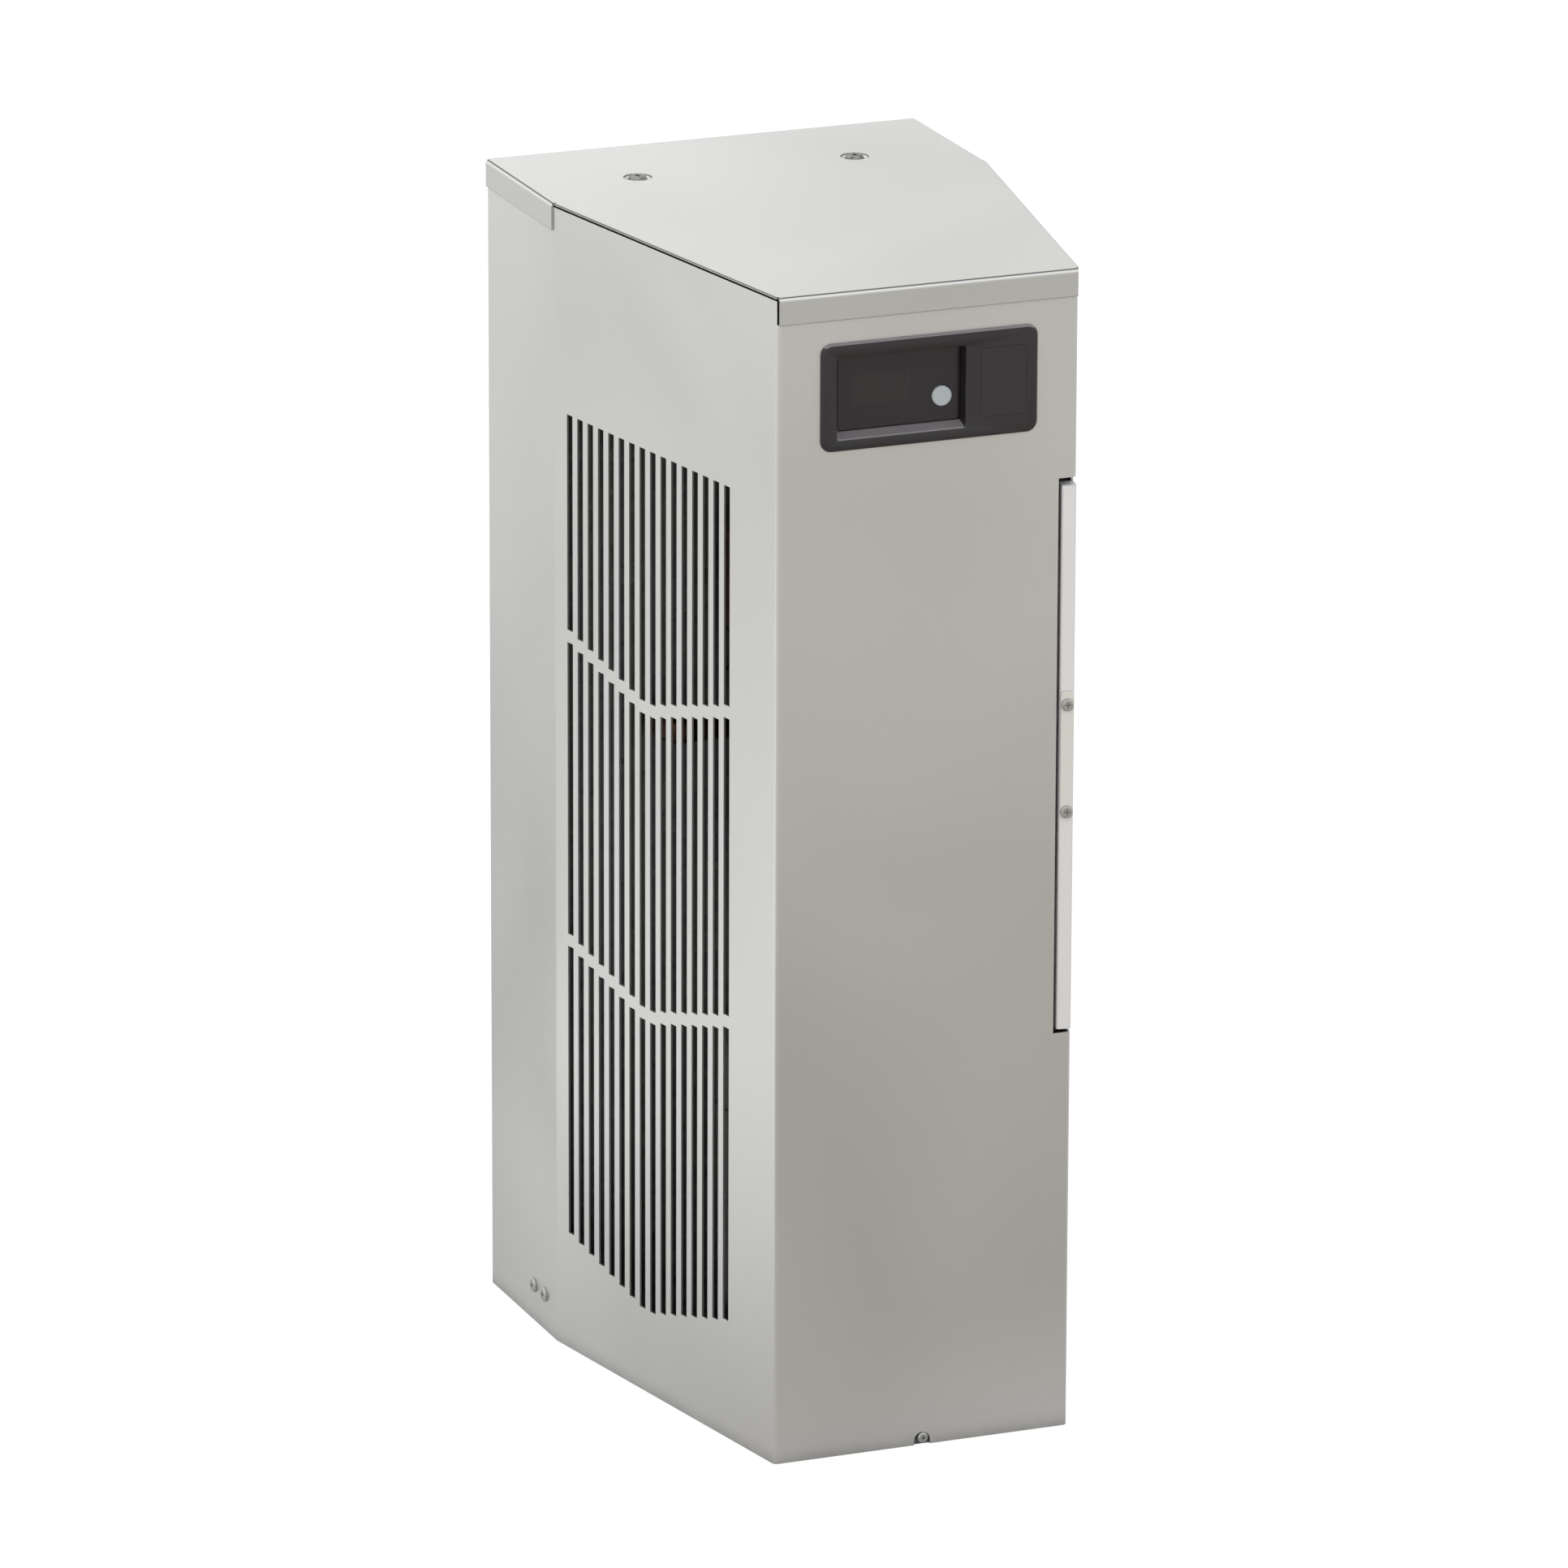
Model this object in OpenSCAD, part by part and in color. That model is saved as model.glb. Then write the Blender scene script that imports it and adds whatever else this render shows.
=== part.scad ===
// Cooling unit for an electrical enclosure: a tall wedge-plan sheet-metal air conditioner.
// It bolts by its back to a cabinet wall, with the warm-air return above and the cool-air supply below.
// The front faces -Y, +Z is up, and the origin is on the floor under the middle of the whole unit.

/* [Body] */
// Height over the top sheet
body_h = 533; // [520:1:560]
// Width across the two straight rear strips
rear_w = 206; // [202:1:220]
// Width of the front panel over its bends
front_w = 140; // [136:1:148]
// Depth of the tapered part, front to back
taper_d = 184; // [180:1:200]
// Depth of the straight rear strips
strip_d = 84; // [82:1:96]
// Thickness of the stainless sheet
sheet_t = 1; // [0.8:0.1:1.2]
// Outside radius of the shroud's bends
bend_r = 2.4; // [2:0.1:4]

/* [Top cap] */
// Height of the cap's turned-down flanges
cap_flange_h = 12.5; // [8:0.5:16]
// Outside radius of the cap's bends
cap_bend_r = 2; // [1.6:0.1:3]
// Open gap between the cap and the top edge of the tapered sides
cap_gap = 1; // [0.5:0.1:1.5]
// Width of the relief slit at each front corner
slit_w = 1.2; // [1:0.1:3]
// Distance of each cap screw inside the rear strip's outer face
cap_screw_in = 51; // [40:1:60]
// Distance of the cap screws in front of the rear face
cap_screw_back = 54; // [46:1:60]
// Radius of the dimple round each cap screw
dimple_r = 6.5; // [5.5:0.1:8]
// Depth of those dimples
dimple_depth = 2.5; // [1.5:0.1:3.5]

/* [Side slots] */
// Number of slot columns on each tapered side
slot_count = 16; // [10:2:18]
// Width of a slot
slot_w = 4.8; // [3:0.1:6]
// Distance between slot columns
slot_pitch = 8.85; // [7:0.05:9.5]
// Distance of the pattern's middle behind the front corner, along the side
slot_mid = 107.7; // [100:0.1:112]
// Height of the lowest point of the pattern
slot_base_z = 39; // [32:1:60]
// Height of a row of slots, as a share of the pattern's height
slot_row_share = 0.3555; // [0.33:0.0005:0.36]
// Number of rows of slots
slot_rows = 3; // [2:1:3]
// Height of the metal bridge left between rows
slot_bridge = 5.7; // [4:0.1:9]
// Distance of the pattern's straight top under the unit's top
slot_top_drop = 94; // [90:1:102]
// Rise of the chevron from one column to the next
slot_rise = 2.3; // [0:0.1:4]

/* [Control panel] */
// Width of the bezel
bezel_w = 101; // [96:0.5:108]
// Height of the bezel
bezel_h = 48.3; // [46:0.1:54]
// Distance of the bezel's middle under the top
bezel_drop = 47; // [44:0.5:52]
// Corner radius of the bezel
bezel_r = 5; // [3:0.1:8]
// How far the bezel stands out of the front panel
bezel_proud = 1.6; // [1.2:0.1:2.5]
// Chamfer round the bezel's front
bezel_chamfer = 0.8; // [0.4:0.1:1]
// Width of the recess that holds the display and the button
recess_w = 60; // [56:0.5:62]
// Height of that recess
recess_h = 36; // [33:0.5:38]
// Depth of the recess behind the bezel's face
recess_depth = 5.4; // [4:0.1:6]
// Slope of the recess's sill and side walls, as a horizontal run
recess_bevel = 2; // [1:0.1:3]
// Diameter of the push button
button_dia = 9; // [7:0.1:10]
// Travel of the push button
button_travel = 1.5; // [0.8:0.1:1.8]
// Width of the bare plate on the right of the bezel
badge_w = 21.3; // [18:0.1:23]
// Height of that plate
badge_h = 31; // [26:0.5:34]

/* [Filter] */
// Height of the lower edge of the filter's slot, as a share of the unit's height
notch_share = 0.34634; // [0.34:0.0001:0.36]
// Width of front panel that the slot takes off at the corner
notch_w = 8.4; // [8:0.1:10]
// Thickness of the filter
filter_t = 5.2; // [4:0.1:5.4]
// Length of the filter, front to back along the tapered side
filter_len = 172; // [150:1:174]
// Width of the filter's channel frame
filter_rim = 8; // [6:0.5:12]
// Gap under the filter in its slot
filter_low_gap = 1.7; // [0.5:0.1:2.5]
// Gap over the filter in its slot
filter_high_gap = 3.6; // [1:0.1:5]
// Number of mesh openings along the filter
mesh_cols = 12; // [6:1:14]
// Number of mesh openings up the filter
mesh_rows = 18; // [8:1:20]

/* [Rear plate and gasket] */
// Thickness of the rear plate, bulkhead and base pan
frame_t = 1.2; // [1:0.1:1.5]
// Height of the base pan's walls
pan_h = 25; // [22:1:30]
// Thickness of the foam gasket on the back
gasket_t = 5; // [3:0.5:8]
// How far the gasket's edge lies inside the rear plate's edge
gasket_inset = 4; // [2:0.5:6]
// Distance of each mounting insert inside the rear strip's outer face
mount_in = 15; // [13:1:19]
// Height of the lower mounting inserts
mount_z = 36; // [34:1:40]
// Distance of the upper mounting inserts under the top
mount_drop = 28; // [22:1:34]
// Radius of the inserts' threaded holes, at the thread's crest
insert_bore_r = 2.5; // [2:0.1:3]
// How far the warm-air return opening's edge lies inside the wheel's edge
return_lap = 11; // [9:1:15]
// How far the cool-air supply opening's sides lie inside the rear strips
supply_side = 37; // [35:1:42]
// How far the supply opening's lower edge lies over the evaporator's lower end
supply_low = 12; // [8:1:20]
// How far the supply opening's upper edge lies under the evaporator's upper end
supply_high = 18; // [8:1:24]

/* [Heat exchangers] */
// Outside radius of the copper tubes
tube_r = 4.76; // [4:0.01:5]
// Height from one tube to the next, before it is fitted to each coil's height
tube_pitch = 25; // [24:0.5:27]
// Distance between the two rows of tubes
row_pitch = 19; // [18:0.5:20]
// Thickness of a fin
fin_t = 0.5; // [0.3:0.1:0.8]
// Number of fins in the condenser
cond_fins = 31; // [20:1:31]
// Number of fins in the evaporator
evap_fins = 36; // [20:1:36]

/* [Fans] */
// Side of the condenser fan's square frame
fan_size = 140; // [130:1:142]
// Depth of the condenser fan
fan_depth = 38; // [36:1:42]
// Width of the fan frame's rim at the middle of each side
fan_rim = 3.5; // [3:0.5:8]
// Number of condenser fan blades
fan_blades = 7; // [5:1:9]
// Pitch angle of those blades
fan_pitch_a = 35; // [25:1:38]
// Distance from the blower's wheel to the rear strip's outer face
wheel_side = 46; // [45:1:52]
// Width of that wheel
wheel_w = 46; // [40:1:48]
// Number of wheel blades
wheel_blades = 36; // [24:1:40]
// Distance from the wheel's top to the unit's top
wheel_over = 44; // [42:1:50]

/* [Compressor] */
// Radius of the compressor's shell
comp_r = 49; // [44:1:50]
// How much lower the shell is than the filter's slot
comp_under = 16.6; // [16:0.1:30]
// Distance of its axis to the left of the middle
comp_x = 16; // [14:1:18]
// Distance of its axis behind the front panel
comp_d = 80; // [78:1:84]
// Radius of the suction accumulator
acc_r = 18; // [15:1:18]
// Height of the accumulator, as a share of the shell's height
acc_share = 0.5833; // [0.5:0.01:0.65]

/* [Hidden] */
$fn = 48;

// Overrun of every cut past the faces that it opens
over = 5;
// Gap between fixed pieces that fit inside each other
fit_gap = 0.2;
// Gap beside a piece that slides
slide_gap = 0.3;
// Radial gap of a shaft in its bearing
run_gap = 0.05;

// Plan of the body
body_d = taper_d + strip_d;
taper_a = atan((rear_w - front_w) / 2 / taper_d);
shroud_h = body_h - sheet_t - cap_gap;
notch_z = body_h * notch_share;
slot_top_z = body_h - slot_top_drop;
slot_row_h = (slot_top_z - slot_base_z) * slot_row_share;
frame_half_w = rear_w / 2 - sheet_t - fit_gap;
pan_half_w = frame_half_w - frame_t - fit_gap;
bulkhead_d = taper_d + frame_t;
plate_front_d = body_d - frame_t;

// Filter cassette, in the frame of the right tapered side
filter_w0 = sheet_t + slide_gap + fit_gap;
filter_z = notch_z + filter_low_gap;
filter_h = slot_top_z - filter_high_gap - filter_z;
strip_proud = 0.8;
strip_len = 7.3;
strip_back = strip_len - strip_proud;
strip_w = filter_w0 + filter_t;
strip_round = 1.2;
pull_t = 0.8;
pull_h = 58;
pull_mid_share = 0.5086;
pull_mid_z = filter_z + filter_h * pull_mid_share;
pull_margin = 0.5;
pull_head_r = 2.7;
pull_head_h = 1.4;
pull_screw_up = 23;
pull_screw_down = 26;
pull_shank_r = 1.2;
pull_shank = 4;
mesh_open_share = 0.6;

// The unit's reach in front of the front panel, which centres it front to back
pull_reach = strip_proud + pull_t + pull_head_h;
front_reach = pull_reach * cos(taper_a) - (strip_w / 2 - pull_head_r) * sin(taper_a);
front_y = -(body_d + gasket_t - front_reach) / 2;

// Pan-head screws: the crown, and the cross in the head
crown_share = 0.33;
cross_arm_share = 0.5;
cross_slot_share = 0.22;

// Cap screws and the dimples that they sit in
cap_screw_x = rear_w / 2 - cap_screw_in;
cap_screw_r = 2;
cap_head_r = 4.2;
cap_head_h = 3.2;
cap_shank = 11;
dimple_side = 2;
shelf_top_z = body_h - dimple_depth - sheet_t;
ledge_back = 5;

// Screws in the rear strips and at the foot of the front panel
side_screw_d = [199.1, 212.8];
side_screw_z = 17.2;
side_head_r = 3.2;
side_head_h = 1.5;
side_shank_r = 1.6;
side_shank = 5;
foot_notch_r = 3.8;
foot_notch_z = 2;
foot_screw_x = 0.9;
foot_screw_z = 3;
foot_head_r = 2.5;
foot_shank_r = 1.2;
foot_shank = 5;
foot_head_proud = 0.5;

// Control panel
bezel_x = 0.3;
bezel_z = body_h - bezel_drop;
bezel_lap = 2.2;
bezel_depth = 15;
bezel_wall = 1.6;
bezel_solid = 7;
recess_left = 7.2;
recess_x = bezel_x - bezel_w / 2 + recess_left + recess_w / 2;
recess_floor = recess_depth - bezel_proud;
recess_down = 0.5;
recess_top_share = 0.33;
pane_t = 1.5;
digit_w = 27.7;
digit_h = 13.6;
digit_left = 7.5;
digit_up = 1.2;
digit_x = recess_x - digit_left;
digit_z = bezel_z + digit_up;
button_right = 20.6;
button_down = 5.1;
button_x = recess_x + button_right;
button_z = bezel_z - button_down;
button_edge = 0.5;
button_proud = 1.4;
button_gap = 0.3;
collar_lap = 1.5;
collar_r = button_dia / 2 + collar_lap;
collar_t = 1;
button_tail = 0.6;
post_r = 2.5;
post_inset = 5;
board_t = 1.6;
board_recess = 1.4;
board_d = bezel_depth - board_t - board_recess;
board_margin = 2;
clip_w = 12;
clip_len = 3;
clip_rise = 1.4;
badge_x = 34.65;
badge_t = 0.8;
badge_gap = 0.25;

// Filter tracks
track_t = 1;
track_lap = 6;
track_start = 12;
track_past = 3;

// The discharge line's drop behind the condenser, which sets the coil's rear end
line_r = 4;
elbow_share = 0.1;
elbow_in_share = 0.25;
comp_u = side_u(-comp_x, comp_d);
comp_w = side_w(-comp_x, comp_d);
discharge_out = 10;
discharge_gap = 2.9;
discharge_u = (taper_d - line_r - discharge_gap - comp_w * sin(taper_a)) / cos(taper_a);
cond_end_u = discharge_u - discharge_out;

// Condenser, in the frame of the right tapered side
fin_depth = row_pitch * 2;
coil_gap = 1.3;
cond_w0 = filter_w0 + filter_t + slide_gap + track_t + coil_gap;
plate_gap = 2;
end_plate_t = 1.2;
tube_stub = 2;
cond_front_u = 21.8;
cond_mid_u = (cond_front_u + cond_end_u) / 2;
cond_len = cond_end_u - cond_front_u - 2 * (plate_gap + end_plate_t + tube_stub);
cond_z = notch_z + fit_gap;
cond_rise = 0.9;
cond_h = filter_h + cond_rise;
cond_tubes = 2 * round(cond_h / tube_pitch / 2);
coil_margin = 2;
cond_back_w = cond_w0 + fin_depth + coil_margin;
stand_leg_in = 14;

// Condenser fan, whose axis crosses the coil squarely
fan_z = cond_z + cond_h / 2;
fan_bore_r = fan_size / 2 - fan_rim;
fan_tip_gap = 2;
fan_tip_r = fan_bore_r - fan_tip_gap;
fan_tube_t = 2.5;
fan_flange_t = 4;
fan_hub_share = 0.48;
fan_hub_r = fan_tip_r * fan_hub_share;
fan_hub_t = 20;
fan_stator_r = fan_hub_r - fan_tip_gap;
fan_stator_t = 11;
fan_strut_w = 5;
fan_strut_t = 3;
fan_screw_in = 7.5;
fan_screw_r = 2;
fan_wall = 3.2;
fan_boss_r = 6;
fan_head_r = 4;
fan_head_h = 3;
blade_t = 1.6;
blade_chord = 33;
blade_camber_r = 42;
shaft_r = 3;
fan_gap = 1;
fan_hub_z = fan_depth - fan_stator_t - fan_gap - fan_hub_t;
shroud_w0 = cond_back_w;
fan_w0 = shroud_w0 + frame_t;

// Blower
wheel_r = rear_w / 2 - wheel_side;
return_r = wheel_r - return_lap;
wheel_z = body_h - wheel_r - wheel_over;
scroll_t = 1.5;
scroll_w = 60;
scroll_d0 = plate_front_d - scroll_w;
scroll_step = 6;
scroll_gap = 7;
scroll_r0 = wheel_r + scroll_gap;
duct_in = 15;
duct_below = 35;
duct_drop = wheel_r + duct_below;
wheel_front_gap = 4.5;
wheel_d0 = scroll_d0 + scroll_t + wheel_front_gap;
wheel_plate_t = 1.5;
wheel_inner_share = 0.8;
wheel_blade_t = 1;
wheel_blade_r = 9;
hub_r = 9;
hub_len = 8;
motor_r = 30;
motor_gap = 1;
motor_foot_t = 2;
motor_foot_r = 40;

// Evaporator coil
evap_side = 33;
evap_len = rear_w - 2 * evap_side;
evap_back_gap = 7;
evap_d0 = plate_front_d - evap_back_gap - fin_depth;
evap_z = 80;
duct_gap = 60;
evap_h = wheel_z - duct_drop - duct_gap - evap_z;
evap_tubes = 2 * round(evap_h / tube_pitch / 2);
supply_w = rear_w - 2 * supply_side;
supply_z = evap_z + supply_low;
supply_h = evap_h - supply_low - supply_high;

// Rear plate
plate_flange = 14;
mount_x = rear_w / 2 - mount_in;
mount_span = body_h - mount_drop - mount_z;
insert_r = 5.5;
insert_len = 8;
insert_hole_r = 3.3;
gasket_clear = 3;
grommet_side = 33;
grommet_x = rear_w / 2 - grommet_side;
grommet_over = 22;
grommet_z = evap_z + evap_h + grommet_over;
grommet_r = 9;
grommet_bore_r = 6;
grommet_lip = 2.5;
grommet_half_t = 2;
liner_t = 4.5;
liner_low = pan_h + fit_gap;
liner_drop = 16;

// Baffle between the blower and the coil
baffle_lip = 18;
baffle_drop = 10;

// Drain
drain_wall_h = 14;
drain_side = 19;
drain_half_w = rear_w / 2 - drain_side;
drain_z = 60;
drain_front = 8;
spout_r = 5;
spout_bore_r = 3.5;
spout_len = 10;
spout_side = 43;
spout_x = rear_w / 2 - spout_side;
spout_d = evap_d0 + fin_depth / 2;
hose_t = 2;
hose_stretch = 0.5;
hose_r = spout_r + fit_gap / 2 + hose_t;

// Compressor
grommet_h = 14;
foot_t = 3;
foot_reach = 58;
foot_r = 9;
foot_arm = 16;
foot_angles = [-90, 30, 150];
foot_hole_r = 5;
bolt_r = 3;
bolt_head_r = 5.5;
bolt_head_h = 4;
comp_h = notch_z - comp_under;
acc_h = comp_h * acc_share;
comp_z = frame_t + grommet_h;
comp_base_z = comp_z + foot_t;
comp_top_z = comp_base_z + comp_h;
comp_shoulder = 22;
seam_proud = 1.2;
seam_h = 6;
seam_share = 0.7;
grommet_foot_r = 8;
grommet_neck_r = 4.8;
grommet_cap_r = 7;
grommet_cap_h = 2;
cover_r = 13;
cover_h = 20;
cover_off = 12;
cover_round = 5;
cover_t = 2.5;
cover_hollow = 10;
suction_stub_r = 7;
suction_stub_h = 2;
acc_gap = 5;
acc_d = comp_d + comp_r + acc_gap + acc_r;
acc_z = 64;
acc_top_z = acc_z + acc_h;
acc_shoulder = 8;
acc_drop = 14;
strap_z = 110;
strap_w = 12;
strap_h = 12;

// Copper lines
suction_r = 5;
line_bend = 9;
thin_r = 1.2;
thin_bend = 5;
liquid_r = 3;
drier_r = 9.5;
drier_h = 75;
drier_neck = 8;
drier_u = 150;
drier_w = 118;
drier_drop = 41.3;
drier_x = plan_x(drier_u, drier_w);
drier_d = plan_d(drier_u, drier_w);
liquid_out = 8.8;
stub_off = 15;
discharge_loop = 36;
discharge_drop_z = comp_top_z + discharge_loop;
cond_row_w = [cond_w0 + (fin_depth - row_pitch) / 2, cond_w0 + (fin_depth + row_pitch) / 2];
cond_top_z = cond_z + cond_h - cond_h / cond_tubes / 2;
liquid_rise = 14;
drier_z = cond_top_z + liquid_rise - drier_drop - drier_h;
evap_end_x = evap_len / 2 + plate_gap + end_plate_t + tube_stub;
evap_row_d = [evap_d0 + (fin_depth - row_pitch) / 2, evap_d0 + (fin_depth + row_pitch) / 2];
evap_top_z = evap_z + evap_h - evap_h / evap_tubes / 2;
suction_over = 13;
suction_z = evap_z + evap_h + suction_over;
suction_out = 13;
suction_d = 200;
suction_x = -spout_x;
capillary_under = 10;
capillary_z = drier_z - capillary_under;
capillary_d = 191;
capillary_out = 9;

// Electrical box
shelf_rise = 8;
shelf_z = slot_top_z + shelf_rise;
shelf_half_w = 58;
shelf_front_d = 24;
shelf_flange = 12;
box_t = 1;
box_half_w = 54;
box_front_d = 32;
box_back_d = 168;
box_h = 62;
cap_r = 17;
cap_len = 62;
tab_w = 6;
tab_t = 1;
tab_len = 8;
tab_x = 8;
block_size = [64, 24, 20];
block_poles = 6;
pole_r = 3;
pole_depth = 3;

// Where a point of the plan lies in the frame of the right tapered side, and back again
function side_u(x, d) = (x - front_w / 2) * sin(taper_a) + d * cos(taper_a);
function side_w(x, d) = -(x - front_w / 2) * cos(taper_a) + d * sin(taper_a);
function plan_x(u, w) = front_w / 2 + u * sin(taper_a) - w * cos(taper_a);
function plan_d(u, w) = u * cos(taper_a) + w * sin(taper_a);

// Corner of the front panel and kink of the side, for an outline inset from the outer faces
function corner_x(inset) = front_w / 2 - inset * (1 - sin(taper_a)) / cos(taper_a);
function kink_d(inset) = taper_d + inset * tan(taper_a / 2);

// Height of the slot pattern's lower edge in a column
function chevron(i) = (abs(i - (slot_count - 1) / 2) - 0.5) * slot_rise;

module placed() {
  translate([0, front_y, 0]) children();
}

// Local X runs back along the right tapered side, local Y runs square into the unit
module on_side() {
  placed() translate([front_w / 2, 0, 0]) rotate([0, 0, 90 - taper_a]) children();
}

module both_sides() {
  children();
  mirror([1, 0, 0]) children();
}

module box(lo, hi) {
  translate(lo) cube(hi - lo);
}

// A rod between two heights at a plan point
module rod(x, y, z0, z1, r) {
  translate([x, y, z0]) cylinder(h = z1 - z0, r = r);
}

// A rod along Y between two depths
module cross_rod(x, z, d0, d1, r) {
  translate([x, d0, z]) rotate([-90, 0, 0]) cylinder(h = d1 - d0, r = r);
}

// Outline of the sheet body, inset from its outer faces and running back to a depth
module plan_shape(inset, back) {
  e = max(inset, bend_r);
  r = e - inset;
  right = [
    [corner_x(e), inset],
    [corner_x(e) + r * cos(taper_a), e - r * sin(taper_a)],
    [rear_w / 2 - e + r * cos(taper_a), kink_d(e) - r * sin(taper_a)],
    [rear_w / 2 - inset, kink_d(e)],
    [rear_w / 2 - inset, back]
  ];
  left = [for (i = [len(right) - 1:-1:0]) [-right[i][0], right[i][1]]];
  polygon(concat(right, left));
  if (r > 0)
    both_sides() {
      translate([corner_x(e), e]) circle(r);
      translate([rear_w / 2 - e, kink_d(e)]) circle(r);
    }
}

// Rounded rectangle about the origin
module round_rect(w, h, r) {
  square([w - 2 * r, h], center = true);
  square([w, h - 2 * r], center = true);
  for (x = [-1, 1], y = [-1, 1])
    translate([x * (w / 2 - r), y * (h / 2 - r)]) circle(r);
}

// A plate with round corners and a chamfer round its upper face
module soft_plate(w, h, t, r, c) {
  linear_extrude(t - c) round_rect(w, h, r);
  translate([0, 0, t - c]) {
    for (x = [-1, 1], y = [-1, 1])
      translate([x * (w / 2 - r), y * (h / 2 - r), 0]) cylinder(h = c, r1 = r, r2 = r - c);
    rotate([90, 0, 0]) translate([0, 0, -(h / 2 - r)]) linear_extrude(h - 2 * r)
      polygon([[-w / 2, 0], [w / 2, 0], [w / 2 - c, c], [-w / 2 + c, c]]);
    rotate([90, 0, 90]) translate([0, 0, -(w / 2 - r)]) linear_extrude(w - 2 * r)
      polygon([[-h / 2, 0], [h / 2, 0], [h / 2 - c, c], [-h / 2 + c, c]]);
  }
}

// A panel piece that faces forward: local X is x, local Y is up, local Z points out of the front
module facing_front(x, z, d) {
  placed() translate([x, d, z]) rotate([90, 0, 0]) children();
}

function unit_of(v) = v / norm(v);

// A tube through a list of points, with a slightly wider brazed elbow at every corner
module bent_tube(points, r, bend) {
  n = len(points);
  dirs = [for (i = [0:n - 2]) unit_of(points[i + 1] - points[i])];
  turns = [for (i = [0:n - 3]) acos(dirs[i] * dirs[i + 1])];
  trims = [for (t = turns) bend * tan(t / 2)];
  for (i = [0:n - 2]) {
    a = points[i] + dirs[i] * (i == 0 ? 0 : trims[i - 1] - r * elbow_in_share);
    b = points[i + 1] - dirs[i] * (i == n - 2 ? 0 : trims[i] - r * elbow_in_share);
    s = abs(dirs[i][0]) > 0.9 ? [0, 90 * sign(dirs[i][0]), 0]
      : abs(dirs[i][1]) > 0.9 ? [-90 * sign(dirs[i][1]), 0, 0]
      : [dirs[i][2] > 0 ? 0 : 180, 0, 0];
    translate(a) rotate(s) cylinder(h = norm(b - a), r = r);
  }
  for (i = [0:n - 3]) {
    out = -unit_of(dirs[i + 1] - dirs[i] * (dirs[i] * dirs[i + 1]));
    axis = cross(out, dirs[i]);
    c = points[i + 1] - dirs[i] * trims[i] - out * bend;
    m = [
      [out[0], dirs[i][0], axis[0], c[0]],
      [out[1], dirs[i][1], axis[1], c[1]],
      [out[2], dirs[i][2], axis[2], c[2]],
      [0, 0, 0, 1]
    ];
    multmatrix(m) rotate_extrude(angle = turns[i]) translate([bend, 0]) circle(r * (1 + elbow_share));
  }
}

// Pan-head screw along +Z with its head's underside at the origin
module pan_screw(head_r, head_h, shank_r, shank) {
  crown = head_h * crown_share;
  arm = head_r * cross_arm_share;
  slot = head_r * cross_slot_share;
  difference() {
    union() {
      cylinder(h = head_h - crown, r = head_r);
      translate([0, 0, head_h - crown]) cylinder(h = crown, r1 = head_r, r2 = head_r - crown);
    }
    for (a = [0, 90])
      rotate([0, 0, a]) translate([-arm, -slot / 2, head_h / 2]) cube([2 * arm, slot, head_h]);
  }
  translate([0, 0, -shank]) cylinder(h = shank, r = shank_r);
}

// Wrapped shroud: front panel, both tapered sides and both rear strips in one folded sheet
module slot_pattern() {
  for (row = [0:slot_rows - 1], i = [0:slot_count - 1]) {
    s = slot_mid + (i - (slot_count - 1) / 2) * slot_pitch;
    low = slot_base_z + row * slot_row_h + chevron(i);
    top = row == slot_rows - 1 ? slot_top_z : low + slot_row_h - slot_bridge;
    box([s - slot_w / 2, -over, low], [s + slot_w / 2, over, top]);
  }
}

module corner_slits() {
  turn = (90 + taper_a) / 2;
  both_sides() placed() translate([front_w / 2, 0, shroud_h + cap_gap + sheet_t - cap_flange_h])
    rotate([0, 0, -turn]) translate([-over, -slit_w / 2, 0]) cube([2 * over, slit_w, cap_flange_h]);
}

module filter_notch() {
  x = front_w / 2 - notch_w;
  u = strip_back + slide_gap;
  placed() translate([0, 0, notch_z]) linear_extrude(slot_top_z - notch_z) polygon([
    [x, -over], [front_w / 2 + over, -over], [plan_x(u, -over), plan_d(u, -over)],
    [plan_x(u, over), plan_d(u, over)], [x, over]
  ]);
}

module shroud() {
  color("gainsboro") difference() {
    placed() linear_extrude(shroud_h) difference() {
      plan_shape(0, body_d);
      plan_shape(sheet_t, body_d + over);
    }
    both_sides() on_side() slot_pattern();
    corner_slits();
    filter_notch();
    facing_front(bezel_x, bezel_z, sheet_t + over)
      linear_extrude(sheet_t + 2 * over)
        square([bezel_w - 2 * bezel_lap + 2 * fit_gap, bezel_h - 2 * bezel_lap + 2 * fit_gap], center = true);
    both_sides() placed() for (d = side_screw_d)
      translate([rear_w / 2 - over, d, side_screw_z]) rotate([0, 90, 0])
        cylinder(h = 2 * over, r = side_shank_r + fit_gap);
    placed() cross_rod(foot_screw_x / 2, foot_notch_z, -over, over, foot_notch_r);
    placed() box([foot_screw_x / 2 - foot_notch_r, -over, -over],
      [foot_screw_x / 2 + foot_notch_r, over, foot_notch_z]);
  }
}

// Flat top sheet with lipped front and rear sides, held by two screws in dimples
module cap_bend(length) {
  r = cap_bend_r;
  rotate([90, 0, 90]) linear_extrude(length) {
    intersection() {
      translate([r - sheet_t, body_h - r]) difference() {
        circle(r);
        circle(r - sheet_t);
      }
      translate([-sheet_t, body_h - r]) square([r, r]);
    }
    translate([-sheet_t, body_h - cap_flange_h]) square([sheet_t, cap_flange_h - r]);
  }
}

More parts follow.
